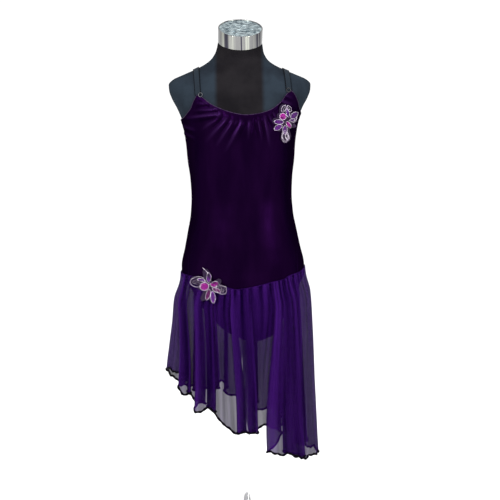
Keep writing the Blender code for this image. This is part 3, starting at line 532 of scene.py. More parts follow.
def grid_mesh(name, points, flat, turned=False, close=False, fill=False, shade=None):
    """A grid of faces moved to an array of points, columns by rows, with its UV in metres."""
    columns, rows = points.shape[:2]
    work = bmesh.new()
    bmesh.ops.create_grid(work, x_segments=columns - 1, y_segments=rows - 1, size=1.0)
    layer = work.loops.layers.uv.new("cloth")
    tone = None if shade is None else work.verts.layers.float.new("shade")
    for vert in work.verts:
        i = round((vert.co.x + 1) / 2 * (columns - 1))
        j = round((vert.co.y + 1) / 2 * (rows - 1))
        vert.co = points[i, j]
        if tone:
            vert[tone] = shade[i, j]
        for loop in vert.link_loops:
            loop[layer].uv = flat[i, j]
    if close:
        bmesh.ops.remove_doubles(work, verts=work.verts[:], dist=0.00002)
    if fill:
        bmesh.ops.holes_fill(work, edges=work.edges[:], sides=0)
    if turned:
        bmesh.ops.reverse_faces(work, faces=work.faces[:])
    return written(work, name)


def running_length(points):
    """How far along its points a path has come at each of them, down the first axis."""
    steps = np.linalg.norm(np.diff(points, axis=0), axis=-1)
    return np.concatenate([np.zeros((1, *steps.shape[1:])), np.cumsum(steps, axis=0)])


def flat_lengths(points):
    """UVs in metres: the running length along each row and down each column."""
    u = running_length(points)
    v = running_length(points.swapaxes(0, 1)).swapaxes(0, 1)
    middle = points.shape[1] // 2
    return np.stack([np.repeat(u[:, middle:middle + 1], points.shape[1], axis=1), -v], axis=-1)


def tube_mesh(name, path, radius):
    """A round strip along a path, its section set by the direction away from the axis."""
    along = unit(np.gradient(path, axis=0))
    away = path * np.array([1.0, 1.0, 0.0])
    away = unit(away - along * np.sum(away * along, axis=-1, keepdims=True))
    across = np.cross(along, away)
    turn = np.linspace(0, 2 * np.pi, TUBE_SIDES + 1)[None, :, None]
    ring = away[:, None] * np.cos(turn) + across[:, None] * np.sin(turn)
    points = path[:, None] + ring * np.reshape(radius, (-1, 1, 1))
    return grid_mesh(name, points, flat_lengths(points), close=True, fill=True)


def turned_mesh(name, profile, steps, matrix=Matrix()):
    """A profile of radius and height, turned about Z."""
    work = bmesh.new()
    verts = [work.verts.new((radius, 0.0, height)) for radius, height in profile]
    edges = [work.edges.new(pair) for pair in zip(verts, verts[1:])]
    bmesh.ops.spin(work, geom=verts + edges, cent=(0, 0, 0), axis=(0, 0, 1),
                   angle=2 * math.pi, steps=steps, use_merge=True)
    bmesh.ops.remove_doubles(work, verts=work.verts[:], dist=0.00001)
    bmesh.ops.recalc_face_normals(work, faces=work.faces[:])
    bmesh.ops.transform(work, matrix=matrix, verts=work.verts[:])
    return written(work, name)


def rounded_profile(corners, radius, steps=4):
    """The corners of a profile, all but the first and last rounded off."""
    made = [corners[0]]
    for before, here, after in zip(corners, corners[1:], corners[2:]):
        here = np.array(here)
        start = here + unit(np.array(before) - here) * radius
        end = here + unit(np.array(after) - here) * radius
        for i in range(steps + 1):
            made.append(tuple(bent(start, here, end, i / steps)))
    made.append(corners[-1])
    return made


# Materials

def feed(tree, socket, value):
    """Links a socket to another one, or sets its value."""
    if isinstance(value, bpy.types.NodeSocket):
        tree.links.new(value, socket)
    elif socket.type == "RGBA":
        socket.default_value = (*value, 1.0)
    else:
        socket.default_value = value


def add_node(tree, kind, inputs=(), **settings):
    made = tree.nodes.new(kind)
    for key, value in settings.items():
        setattr(made, key, value)
    for key, value in dict(inputs).items():
        feed(tree, made.inputs[key], value)
    return made


def math_node(tree, operation, *values):
    inputs = dict(enumerate(values))
    return add_node(tree, "ShaderNodeMath", inputs, operation=operation).outputs[0]


def mix_colours(tree, share, first, second):
    inputs = {0: share, 6: first, 7: second}
    return add_node(tree, "ShaderNodeMix", inputs, data_type="RGBA").outputs[2]


def ranged(tree, value, start, end, low=0.0, high=1.0, **settings):
    """A value that goes from low to high while the given one goes from start to end."""
    inputs = {"Value": value, "From Min": start, "From Max": end, "To Min": low,
              "To Max": high}
    return add_node(tree, "ShaderNodeMapRange", inputs, **settings).outputs[0]


def parted(tree, vector):
    return add_node(tree, "ShaderNodeSeparateXYZ", {"Vector": vector}).outputs


def new_material(name, colour, roughness, **settings):
    """A material, its tree and its shader, with values set on the shader's own sockets."""
    made = bpy.data.materials.new(name)
    made.use_nodes = True
    shader = made.node_tree.nodes["Principled BSDF"]
    shader.inputs["Base Color"].default_value = (*colour, 1.0)
    shader.inputs["Roughness"].default_value = roughness
    for key, value in settings.items():
        shader.inputs[key.replace("_", " ")].default_value = value
    return made, made.node_tree, shader


def new_group(name, inputs, outputs):
    """A shader group's tree, the sockets that it is given and those that it puts out."""
    tree = bpy.data.node_groups.new(name, "ShaderNodeTree")
    for title, kind, value in inputs:
        socket = tree.interface.new_socket(name=title, in_out="INPUT", socket_type=kind)
        if value is not None:
            socket.default_value = value
    for title in outputs:
        tree.interface.new_socket(name=title, in_out="OUTPUT", socket_type="NodeSocketFloat")
    given, made = tree.nodes.new("NodeGroupInput"), tree.nodes.new("NodeGroupOutput")
    return tree, given.outputs, made.inputs


def threads_group():
    """Two crossing sets of threads over coordinates in metres."""
    tree, given, made = new_group(
        "crossing_threads",
        (("Coordinates", "NodeSocketVector", None), ("Pitch", "NodeSocketFloat", 0.0005),
         ("Slant", "NodeSocketFloat", 0.0)),
        ("Height", "Threads"),
    )
    x, y, _ = parted(tree, given["Coordinates"])
    rate = math_node(tree, "DIVIDE", 2 * math.pi, given["Pitch"])
    across = math_node(tree, "ADD", x, math_node(tree, "MULTIPLY", y, given["Slant"]))
    warp = math_node(tree, "SINE", math_node(tree, "MULTIPLY", across, rate))
    weft = math_node(tree, "SINE", math_node(tree, "MULTIPLY", y, rate))
    feed(tree, made["Threads"], math_node(tree, "MAXIMUM", warp, weft))
    feed(tree, made["Height"], math_node(tree, "ADD", warp, weft))
    return tree


def uneven_group():
    """Soft uneven patches from 0 to 1, drawn out along one direction."""
    tree, given, made = new_group(
        "uneven_patches",
        (("Coordinates", "NodeSocketVector", None), ("Size", "NodeSocketVector", (1, 1, 1)),
         ("Detail", "NodeSocketFloat", 2.0), ("Low", "NodeSocketFloat", 0.35),
         ("High", "NodeSocketFloat", 0.65)),
        ("Patches",),
    )
    scaled = add_node(tree, "ShaderNodeVectorMath",
                      {0: given["Coordinates"], 1: given["Size"]}, operation="DIVIDE")
    cloud = add_node(tree, "ShaderNodeTexNoise",
                     {"Vector": scaled.outputs[0], "Scale": 1.0, "Detail": given["Detail"]})
    feed(tree, made["Patches"],
         ranged(tree, cloud.outputs["Fac"], given["Low"], given["High"]))
    return tree


THREADS, UNEVEN = threads_group(), uneven_group()


def threads(tree, coordinates, pitch, slant=0.0):
    inputs = {"Coordinates": coordinates, "Pitch": pitch, "Slant": slant}
    return add_node(tree, "ShaderNodeGroup", inputs, node_tree=THREADS).outputs


def uneven(tree, coordinates, size, detail=2.0, low=0.35, high=0.65):
    """Patches of this size in metres, given for each direction or as one for all."""
    if not isinstance(size, tuple):
        size = (size, size, size)
    inputs = {"Coordinates": coordinates, "Size": size, "Detail": detail, "Low": low,
              "High": high}
    return add_node(tree, "ShaderNodeGroup", inputs, node_tree=UNEVEN).outputs["Patches"]


def own_uv(tree):
    return tree.nodes.new("ShaderNodeUVMap").outputs["UV"]


def object_place(tree):
    return tree.nodes.new("ShaderNodeTexCoord").outputs["Object"]


def own_shade(tree):
    """The shade that a mesh carries from 0, in a hollow, to 1, on a fold that faces the light."""
    return add_node(tree, "ShaderNodeAttribute", attribute_name="shade").outputs["Fac"]


def paint(tree, shader, share, first, second):
    feed(tree, shader.inputs["Base Color"], mix_colours(tree, share, first, second))


def roughen(tree, shader, patches, smooth, rough):
    feed(tree, shader.inputs["Roughness"], ranged(tree, patches, 0.0, 1.0, smooth, rough))


def bump(tree, shader, height, strength, distance):
    inputs = {"Height": height, "Strength": strength, "Distance": distance}
    feed(tree, shader.inputs["Normal"], add_node(tree, "ShaderNodeBump", inputs).outputs[0])


def mottled_finish(name, colour, roughness, metal, gloss, size, detail, low, high, dark, light):
    """A finish that goes from dark to light in uneven patches of one size."""
    made, tree, shader = new_material(name, colour, roughness, Metallic=metal,
                                      Specular_IOR_Level=gloss)
    patches = uneven(tree, object_place(tree), size, detail, low, high)
    paint(tree, shader, patches, dark, light)
    return made


def bead_finish(name, dark, light, metal, roughness):
    """Glass beads or sequins, each a little lighter or darker than the next."""
    return mottled_finish(name, light, roughness, metal, BEAD_GLOSS, BEAD_PATCH, 1.0,
                          *BEAD_ENDS, dark, light)


def jersey_finish():
    """Knitted black cover: a warm black centre panel, slate shoulders beside it."""
    made, tree, shader = new_material("form_jersey", (0.010, 0.010, 0.012), 0.85,
                                      Specular_IOR_Level=0.01)
    place = object_place(tree)
    aside = math_node(tree, "ABSOLUTE", parted(tree, place)[0])
    patches = uneven(tree, place, 0.05, 3.0)
    centre = mix_colours(tree, patches, (0.0060, 0.0054, 0.0066), (0.0104, 0.0094, 0.0108))
    sides = mix_colours(tree, patches, (0.0105, 0.0140, 0.0195), (0.0160, 0.0225, 0.0310))
    paint(tree, shader, ranged(tree, aside, *JERSEY_CHANGE), centre, sides)
    bump(tree, shader, threads(tree, place, JERSEY_PITCH, 0.4)["Height"], 0.12, 0.0003)
    return made


def reflection_streak_mask(tree, across, streaks):
    """1 in upright streaks, each given as its x and its half width, and 0 between them."""
    mask = 0.0
    for x, half in streaks:
        away = math_node(tree, "ABSOLUTE", math_node(tree, "SUBTRACT", across, x))
        near = ranged(tree, away, STREAK_CORE * half, half, 1.0, 0.0,
                      interpolation_type="SMOOTHSTEP")
        mask = math_node(tree, "MAXIMUM", mask, near)
    return mask


def band_finish():
    """The cap's polished band, its colour darker in upright streaks that are painted reflections.
    """
    made, tree, shader = new_material("bright_metal", (0.55, 0.57, 0.52), 0.08,
                                      Metallic=1.0)
    place = object_place(tree)
    # Fine and broad upright streaks of lighter and darker plate colour are painted reflection too
    fine = uneven(tree, place, (0.005, 0.9, 0.9), 3.0, 0.40, 0.60)
    broad = uneven(tree, place, (0.020, 0.9, 0.9), 1.0, 0.38, 0.62)
    tone = math_node(tree, "MULTIPLY", fine, broad)
    plate = mix_colours(tree, tone, (0.20, 0.20, 0.20), (0.54, 0.56, 0.48))
    # Dark upright streaks painted over the plate: painted reflections
    dark = reflection_streak_mask(tree, parted(tree, place)[0], BAND_PAINTED_REFLECTIONS)
    paint(tree, shader, dark, plate, (0.045, 0.043, 0.06))
    roughen(tree, shader, uneven(tree, place, (0.030, 0.030, 0.050), 4.0), 0.05, 0.12)
    return made


def stand_finish(name, dull, bright):
    """Plated metal with faint rub marks in its roughness, its colour darker in the same patches
    as painted reflection.
    """
    made, tree, shader = new_material(name, bright, 0.10, Metallic=1.0)
    rub_marks_and_painted_reflections = uneven(tree, object_place(tree), (0.035, 0.035, 0.120), 5.0, 0.25, 0.75)
    # The patches darken the colour as painted reflection, and roughen the metal as rub marks
    paint(tree, shader, rub_marks_and_painted_reflections, dull, bright)
    roughen(tree, shader, rub_marks_and_painted_reflections, 0.07, 0.16)
    return made


def foil_finish():
    """The cap's top: a crumpled bluish metal film, its colour dark and light in patches that are
    painted glints and reflections.
    """
    made, tree, shader = new_material("crumpled_film", (0.30, 0.36, 0.40), 0.30,
                                      Metallic=0.9)
    place = object_place(tree)
    # Dark and light patches of colour: painted glints and reflections
    painted_glint_patches = uneven(tree, place, (0.010, 0.006, 0.006), 5.0, 0.36, 0.64)
    paint(tree, shader, painted_glint_patches, (0.03, 0.060, 0.080), (0.40, 0.48, 0.50))
    crumple = uneven(tree, place, (0.007, 0.004, 0.004), 4.0, 0.2, 0.8)
    bump(tree, shader, crumple, 0.8, 0.0012)
    return made


def stretch_finish():
    """Dark plum stretch knit with a satin gloss, its colour lighter on the creases' upper flanks
    and darker in their troughs: painted highlight and shade.
    """
    made, tree, shader = new_material("stretch_cloth", (0.0050, 0.0006, 0.0105), 0.34,
                                      Metallic=0.6, Specular_IOR_Level=0.0)
    shader.inputs["Specular Tint"].default_value = (0.03, 0.01, 0.04, 1.0)
    flat = own_uv(tree)
    patches = uneven(tree, flat, (0.040, 0.160, 1.0), 3.0)
    even = mix_colours(tree, patches, (0.0040, 0.0004, 0.0086), (0.0062, 0.0008, 0.0124))
    # The mesh's shade paints the creases: painted highlight above a half, painted shade below it
    shade = own_shade(tree)
    raised = ranged(tree, shade, 0.5, 1.0)
    hollow = ranged(tree, shade, 0.5, 0.0)
    lit = mix_colours(tree, raised, even, (0.0240, 0.0072, 0.0440))
    paint(tree, shader, hollow, lit, (0.0006, 0.0001, 0.0016))
    roughen(tree, shader, uneven(tree, flat, (0.020, 0.050, 1.0)), 0.30, 0.38)
    bump(tree, shader, threads(tree, flat, STRETCH_PITCH)["Height"], 0.05, 0.0002)
    return made


def elastic_finish():
    """Ribbed elastic with darker edges, across its width in U."""
    made, tree, shader = new_material("strap_elastic", (0.014, 0.019, 0.025), 0.62,
                                      Specular_IOR_Level=0.02)
    flat = own_uv(tree)
    off = math_node(tree, "SUBTRACT", parted(tree, flat)[0], STRAP_WIDTH / 2)
    edge = ranged(tree, math_node(tree, "ABSOLUTE", off), *STRAP_EDGE)
    paint(tree, shader, edge, (0.0125, 0.0175, 0.0240), (0.0030, 0.0030, 0.0042))
    bump(tree, shader, threads(tree, flat, RIB_PITCH)["Height"], 0.25, 0.0003)
    return made


def chiffon_finish():
    """See-through violet chiffon: fine threads, painted shade down its pleats, and darker painted
    shade in the gathers at the seam.
    """
    made, tree, shader = new_material("sheer_cloth", (0.011, 0.0010, 0.036), 0.60,
                                      Specular_IOR_Level=0.0, Alpha=0.86,
                                      Sheen_Weight=0.05, Sheen_Roughness=0.5)
    shader.inputs["Sheen Tint"].default_value = (0.45, 0.20, 1.0, 1.0)
    flat = own_uv(tree)
    # Soft streaks down the cloth are painted fold shade; the finer ones also make it denser
    fine = uneven(tree, flat, (0.009, 0.260, 1.0), 3.0, 0.38, 0.62)
    broad = uneven(tree, flat, (0.034, 0.420, 1.0), 2.0, 0.40, 0.60)
    painted_fold_shade = math_node(tree, "MULTIPLY_ADD", fine, 0.18,
                      math_node(tree, "MULTIPLY", broad, 0.17))
    # Painted shade in the gathers just under the seam
    near_seam = ranged(tree, parted(tree, flat)[1], -0.070, -0.002)
    gathered = uneven(tree, flat, (0.0040, 0.090, 1.0), 2.0, 0.40, 0.60)
    hollow = math_node(tree, "MULTIPLY", near_seam,
                       math_node(tree, "SUBTRACT", 1.0, gathered))
    shaded = math_node(tree, "MULTIPLY_ADD", own_shade(tree), 0.78,
                       math_node(tree, "SUBTRACT", painted_fold_shade, 0.12))
    light = math_node(tree, "SUBTRACT", shaded, math_node(tree, "MULTIPLY", hollow, 0.20))
    paint(tree, shader, light, (0.0026, 0.0001, 0.0120), (0.0300, 0.0050, 0.0900))
    weave = threads(tree, flat, CHIFFON_PITCH)
    thick = ranged(tree, weave["Threads"], -1.0, 1.0, -0.04, 0.03)
    dense = ranged(tree, fine, 0.0, 1.0, 0.895, 0.835)
    feed(tree, shader.inputs["Alpha"], math_node(tree, "ADD", dense, thick))
    ruffle = math_node(tree, "MULTIPLY", gathered, near_seam)
    relief = math_node(tree, "MULTIPLY_ADD", ruffle, 8.0, weave["Height"])
    bump(tree, shader, relief, 0.3, 0.0003)
    return made


def hem_finish():
    """Close overlock stitches round the rolled hem, nearly black."""
    made, tree, shader = new_material("rolled_hem", (0.0015, 0.0004, 0.003), 0.60,
                                      Specular_IOR_Level=0.02)
    height = threads(tree, own_uv(tree), STITCH_PITCH, 0.6)["Height"]
    paint(tree, shader, ranged(tree, height, -2.0, 2.0), (0.0004, 0.0001, 0.0008),
          (0.0018, 0.0005, 0.0036))
    bump(tree, shader, height, 0.4, 0.0004)
    return made


def backing_finish():
    """The flowers' thin woven backing."""
    made, tree, shader = new_material("applique_backing", (0.030, 0.006, 0.050), 0.7,
                                      Specular_IOR_Level=0.2)
    height = threads(tree, object_place(tree), BACKING_PITCH, 1.0)["Height"]
    paint(tree, shader, ranged(tree, height, -2.0, 2.0), (0.005, 0.0008, 0.010),
          (0.014, 0.003, 0.026))
    bump(tree, shader, height, 0.3, 0.0003)
    return made


# The form and its stand

def add_form(finish):
    columns, rows = FORM_GRID
    angle = np.linspace(-180, 180, columns + 1)[:, None]
    height = np.linspace(FORM_BOTTOM + LIP_HEIGHT, NECK_TOP, rows + 1)[None, :]
    points = form_surface(*np.broadcast_arrays(angle, height))
    lip = [points[:, :1] * np.array([share, share, 1.0]) - np.array([0, 0, drop])
           for share, drop in LIP_TURNS]
    points = np.concatenate([*lip, points], axis=1)
    mesh = grid_mesh("dress_form", points, flat_lengths(points), close=True, fill=True)
    finish_mesh("dress_form", mesh, finish, ("form_torso",), sharp=FORM_SHARP)


def crumpled(x, y):
    """How high the film's crumples stand at a place on the cap."""
    across, along, rise = CRUMPLES
    finer, fine_rise = FINE_CRUMPLES
    spot = Vector((x * across, y * along, 3.7))
    return rise * noise.noise(spot) + fine_rise * noise.noise(spot * finer)


def add_neck_cap(chrome, foil):
    """A chrome band with a rolled rim, and a crumpled film over its top."""
    axis = Vector((FORM_ROLL[-1][1], -math.tan(CAP_TILT), 1.0)).normalized()
    foot = Vector((NECK_SHIFT, 0.0, NECK_TOP)) + axis * SEAM_GAP
    place = Matrix.Translation(foot) @ axis.to_track_quat("Z", "Y").to_matrix().to_4x4()
    top = CAP_HEIGHT
    inner = CAP_RADIUS - RIM_WIDTH
    corners = [(0.0, 0.0), (CAP_RADIUS, 0.0), (CAP_RADIUS, top), (inner, top),
               (inner, top - RIM_DEPTH), (0.0, top - RIM_DEPTH)]
    profile = rounded_profile(corners, RIM_ROUNDING)
    band = turned_mesh("neck_band", profile, CAP_STEPS, place)
    finish_mesh("neck_band", band, chrome, ("neck_cap",), sharp=CAP_SHARP)
    spokes, rings = FILM_GRID
    share = np.linspace(0.0, 1.0, rings + 1)[None, :]
    turn = np.linspace(0, 2 * np.pi, spokes + 1)[:, None]
    radius = share * (CAP_RADIUS - FILM_INSET)
    x, y = radius * np.cos(turn), radius * np.sin(turn)
    lift = np.empty_like(x)
    for i, j in np.ndindex(*x.shape):
        lift[i, j] = crumpled(x[i % spokes, j], y[i % spokes, j])
    lift = top - FILM_DEPTH + lift * (1 - share**6)
    points = np.stack([x, y, np.broadcast_to(lift, x.shape)], axis=-1)
    points = points @ np.array(place.to_3x3()).T + np.array(place.translation)
    mesh = grid_mesh("cap_film", points, flat_lengths(points), turned=True, close=True)
    finish_mesh("cap_film", mesh, foil)


def add_stand(bright, steel):
    foot, top = BASE_HEIGHT + SEAM_GAP, FORM_BOTTOM - SEAM_GAP
    inner, high = POLE_RADIUS + SEAM_GAP, foot + HUB_HEIGHT
    pole = [(0.0, foot), (POLE_RADIUS, foot), (POLE_RADIUS, top), (0.0, top)]
    hub = [(inner, foot), (HUB_RADIUS, foot),
           (HUB_RADIUS, foot + HUB_SHOULDER * HUB_HEIGHT),
           (HUB_NECK * HUB_RADIUS, high), (inner, high), (inner, foot)]
    base = [(0.0, 0.0), (BASE_RADIUS, 0.0), (BASE_RADIUS, BASE_HEIGHT), (0.0, BASE_HEIGHT)]
    # Name, profile, rounding of its corners and its steps, steps round, finish
    for name, corners, rounding, steps, around, finish in (
        ("pole", pole, 0.0006, 2, 48, bright),
        ("hub", hub, 0.0012, 4, 64, steel),
        ("base", base, 0.0020, 4, 144, steel),
    ):
        mesh = turned_mesh(name, rounded_profile(corners, rounding, steps), around)
        finish_mesh(name, mesh, finish, (f"stand_{name}",),
                    sharp=STAND_SHARP)


# The leotard

def segment_distance(points, crease):
    """Signed distance of points from a crease's line, below it negative, and the share along."""
    x1, z1, x2, z2 = crease[:4]
    dx, dz = x2 - x1, z2 - z1
    long = math.hypot(dx, dz)
    px, pz = points[..., 0] - x1, points[..., 2] - z1
    share = (px * dx + pz * dz) / long**2
    near = np.clip(share, 0, 1)
    away = np.hypot(px - near * dx, pz - near * dz)
    upward = 1.0 if dx > 0 else -1.0
    side = np.sign((dx * pz - dz * px) * upward)
    return away * side, share


def crease_forms(points):
    """How far the gathers lift the front, and their painted shade and highlight: each has a
    trough below it.
    """
    total = np.zeros(points.shape[:-1])
    shade = np.zeros(points.shape[:-1])
    for crease in CREASES:
        rise, half = crease[4:]
        away, share = segment_distance(points, crease)
        fade = (ease((CREASE_END - share) / CREASE_END_FADE)
                * ease((share - CREASE_START) / CREASE_START_FADE))
        ridge = hill(away, 0.0, half)
        trough = hill(away, TROUGH_PLACE * half, TROUGH_WIDTH * half)
        total += rise * fade * (ridge - TROUGH_DEPTH * trough)
        # Painted highlight on the upper flank, painted shade in the trough
        flank = (away / half + FLANK_PLACE) * ridge * FLANK_LIGHT
        shade += rise / DEEPEST_CREASE * fade * (flank - TROUGH_SHADE * trough)
    return total, np.clip(0.5 + 0.5 * shade, 0, 1)


def gathers(angle, below):
    """Small uneven gathers just under the neckline's band: two waves, the first uneven."""
    turn = np.radians(angle)
    wave = np.sin(turn * 71 + 2.0 * np.sin(turn * 9)) + 0.6 * np.sin(turn * 113 + 1.3)
    first, last = NECKLINE[0] + GATHER_INSET, NECKLINE[1] - GATHER_INSET
    inside = ease((angle - first) / GATHER_SIDE) * ease((last - angle) / GATHER_SIDE)
    fade = np.exp(-np.maximum(below - BAND_WIDTH, 0) / GATHER_FADE) * ease(below / BAND_WIDTH)
    return GATHER_RISE * wave * inside * fade


def panel_points(top_rows, leg_rows, grid, out):
    """A panel as columns by rows: on the form from the top edge, then hanging as the brief."""
    columns, rows = grid
    top_at = smooth_table(top_rows)[0]
    leg_at = smooth_table(leg_rows)
    first, last = top_rows[0][0], top_rows[-1][0]
    inset = math.degrees(PANEL_INSET)
    angle = np.linspace(first + inset, last - inset, columns + 1)
    for corner, _ in top_rows[1:-1]:
        angle[np.argmin(np.abs(angle - corner))] = corner
    angle = angle[:, None]
    top = top_at(angle)
    edge = np.stack([column(angle)[:, 0] for column in leg_at], axis=-1)[:, None, :]
    turn = np.maximum(BRIEF_TOP, edge[..., 2] + BRIEF_TURN)
    body_rows = round(rows * BODY_SHARE)
    share = np.linspace(0, 1, body_rows + 1)[None, :]
    drop = (1 - ROW_CROWDING) * share + ROW_CROWDING * share**2
    height = top + (turn - top) * drop
    body = on_form(*np.broadcast_arrays(angle, height, out))
    start = body[:, -1:]
    full = edge[..., 2:] + BRIEF_FULLNESS * (start[..., 2:] - edge[..., 2:])
    middle = np.concatenate([start[..., :2], full], axis=-1)
    inward = unit(start * np.array([1.0, 1.0, 0.0]))
    end = edge + inward * (out - CLOTH_OUT)
    t = np.linspace(0, 1, rows - body_rows + 1)[None, 1:, None]
    brief = bent(start, middle, end, t)
    points = np.concatenate([body, brief], axis=1)
    below = np.concatenate([top - height, np.full(brief.shape[:2], 1.0)], axis=1)
    return angle, below, points


def grid_normals(points):
    along = np.gradient(points, axis=0)
    down = np.gradient(points, axis=1)
    return unit(np.cross(down, along))


def add_shell(piece, thickness):
    """Gives a sheet its thickness, half to each side."""
    shell = piece.modifiers.new("cloth", "SOLIDIFY")
    shell.thickness = thickness
    shell.offset = 0.0


def add_panel(node, top_rows, leg_rows, grid, finish, edge_finish):
    """A panel of stretch cloth, with its turned top and leg edges."""
    angle, below, points = panel_points(top_rows, leg_rows, grid, CLOTH_OUT + WALL / 2)
    normals = grid_normals(points)
    rise = BAND_RISE * (1 - ease((below - BAND_WIDTH + BAND_LEAD) / BAND_SLOPE))
    rise = rise - GROOVE_DEPTH * hill(below, BAND_WIDTH + GROOVE_DROP, GROOVE_WIDTH)
    shade = np.full(below.shape, 0.5)
    if node == "leotard_front":
        clear = ease((below - CREASES_FROM) / CREASES_OVER)
        lift, shade = crease_forms(points)
        rise = rise + np.maximum(lift, LOWEST_TROUGH) * clear
        shade = 0.5 + (shade - 0.5) * clear
        rise = rise + gathers(np.broadcast_to(angle, below.shape), below)
        low = ease((HIP_SEAM_TOP - points[..., 2]) / HIP_SEAM_FADE)
        low = low * (points[..., 2] > BRIEF_TOP)
        for x in HIP_SEAMS:
            rise = rise - HIP_SEAM_DEPTH * hill(points[..., 0], x, HIP_SEAM_WIDTH) * low
    points = points + normals * rise[..., None]
    name = f"{node}_cloth"
    mesh = grid_mesh(name, points, flat_lengths(points), turned=True, shade=shade)
    piece = finish_mesh(name, mesh, finish, (node,))
    add_shell(piece, CLOTH_THICKNESS)
    trims = []
    for trim, path, radius in (
        ("top_edge", points[:, 0] + normals[:, 0] * PIPING_OUT, PIPING_RADIUS),
        ("leg_edge", points[:, -1], PIPING_RADIUS * LEG_PIPING),
    ):
        tube = tube_mesh(f"{node}_{trim}", path, radius)
        trims.append(finish_mesh(f"{node}_{trim}", tube, edge_finish))
    return piece, trims


# Straps

def ridge_height(x):
    """The height of the shoulder's ridge at this x."""
    heights = np.linspace(SHOULDER_RIDGE, NECK_TOP, RIDGE_STEPS)
    return np.interp(-np.abs(x), -FORM_HALF(heights), heights)


def strap_points(x, t, front_end, back_end, out):
    end = np.where(t < 0, front_end, back_end)
    ridge = ridge_height(x)
    height = end + (ridge - end) * np.cos(t * np.pi / 2)
    half = FORM_HALF(height)
    return on_form(np.where(t < 0, angle_at(x, half), angle_at(x, half, False)), height, out)


def add_strap(node, side, front, back, finish):
    """A ribbed elastic strap. front and back are the x and height of its ends."""
    steps, across = STRAP_GRID
    part = np.linspace(-0.5, 0.5, across + 1)[None, :]
    t = np.linspace(-1, 1, steps + 1)[:, None]
    x = front[0] + (back[0] - front[0]) * (t + 1) / 2 + part * STRAP_WIDTH * side
    x, t, part = np.broadcast_arrays(x, t, part)
    lip = LIP_RISE * ease((np.abs(part) - LIP_FROM) / LIP_OVER)
    out = CLOTH_OUT + STRAP_THICKNESS * WEB_MIDDLE + lip
    points = strap_points(x, t, front[1], back[1], out)
    run = running_length(points[:, across // 2])[:, None]
    flat = np.stack(np.broadcast_arrays((part + 0.5) * STRAP_WIDTH, run), axis=-1)
    mesh = grid_mesh(f"{node}_web", points, flat, turned=side > 0)
    piece = finish_mesh(f"{node}_web", mesh, finish, (node,))
    add_shell(piece, STRAP_THICKNESS * WEB_THICKNESS)
    return piece


# The skirt

def passage(before, after, layer):
    count = max(2, math.ceil((after[0] - before[0]) / SKIRT_STEP))
    made = []
    for i in range(1, count):
        share = i / count
        between = [before[k] + (after[k] - before[k]) * share for k in (0, 1)]
        made.append((*between, layer + (after[2] - layer) * float(ease(share))))
    return made


def lap_stations(laps, front):
    """The pleated path round the skirt as (angle at seam, angle at hem, layer)."""
    first, last = (-180.0, 0.0) if front else (0.0, 180.0)
    seam_half = FORM_HALF(BRIEF_TOP) + CLOTH_OUT + WALL + LAP_GAP_SEAM
    inset = math.degrees(SKIRT_INSET)
    stations = [(first + inset, first + inset, SIDE_LAYER)]
    layer = -1
    for seam_a, seam_b, hem_a, hem_b, climb in laps:
        half = (SKIRT_RIGHT if hem_a < 0 else SKIRT_LEFT)(MEAN_HEM)
        start = [float(angle_at(x, h, front)) for x, h in ((seam_a, seam_half), (hem_a, half))]
        end = [float(angle_at(x, h, front)) for x, h in ((seam_b, seam_half), (hem_b, half))]
        nose = [LAP_NOSE * (e - s) for s, e in zip(start, end)]
        stations += passage(stations[-1], (*start, -climb), layer)
        inner = [end[k] - nose[k] for k in (0, 1)]
        outer = [start[k] + nose[k] for k in (0, 1)]
        stations += [(*inner, -climb), (*end, -0.5 * climb), (*inner, 0),
                     (*outer, 0), (*start, 0.5 * climb), (*outer, climb)]
        layer = climb
    side = (last - inset, last - inset, SIDE_LAYER)
    return stations + passage(stations[-1], side, layer) + [side]


def skirt_points(stations, share, drop, wrinkle):
    """Skirt points, stations by rows. wrinkle is the share of the gap that cloth may stray."""
    seam_angle, hem_angle, layer = (stations[:, k][:, None] for k in range(3))
    opened = ease(share * LAP_SPREAD) ** LAP_SPREAD_POWER
    angle = seam_angle + (hem_angle - seam_angle) * opened
    seam = SEAM_AT(angle)
    height = seam - drop * share
    point = skirt_surface(angle, height, seam)
    tangent = unit(skirt_surface(angle + ANGLE_STEP, height, seam) - point)
    normal = np.stack([tangent[..., 1], -tangent[..., 0], np.zeros(angle.shape)], axis=-1)
    sewn = SEWN_PINCH * np.exp(-drop * share / SEWN_LENGTH)
    gap = (LAP_GAP_SEAM + (LAP_GAP_HEM - LAP_GAP_SEAM) * share) * (1 - sewn)
    sway = share**1.5 * sum(high * np.sin(np.radians(angle) * around + start + height * down)
                            for high, around, start, down in SWAYS)
    return point + normal * ((layer + wrinkle) * gap + sway - LAP_GAP_SEAM * sewn)[..., None]


def waves(along, rows):
    """The sum of waves along the cloth, each with its height, length and start."""
    return sum(high * np.sin(along * 2 * np.pi / long + start) for high, long, start in rows)


def pleat_shade(layer, length, share, drop, ripple):
    """The shade of pleated cloth: its faces catch light at their edges, gathers are hollow."""
    face = np.full(len(layer), PANEL_SHADE)
    edges = np.flatnonzero(np.diff((layer > 0.9).astype(int)))
    for start, end in zip(edges[::2], edges[1::2]):
        on = slice(start + 1, end + 1)
        t = (length[on] - length[start]) / (length[end] - length[start])
        face[on] = PLEAT_SHADE + sum(light * hill(t, *at) for light, *at in PLEAT_LIGHTS)
    shade = face[:, None] * (SHADE_TOP - SHADE_FALL * ease((share - SHADE_FROM) / SHADE_OVER))
    near_seam = np.exp(-drop * share / SEAM_REACH)
    gathered = SEAM_LIGHT + SEAM_RIPPLE * np.minimum(ripple, RIPPLE_MOST)
    return np.clip(shade + RIPPLE_LIGHT * ripple + near_seam * gathered, 0, 1)


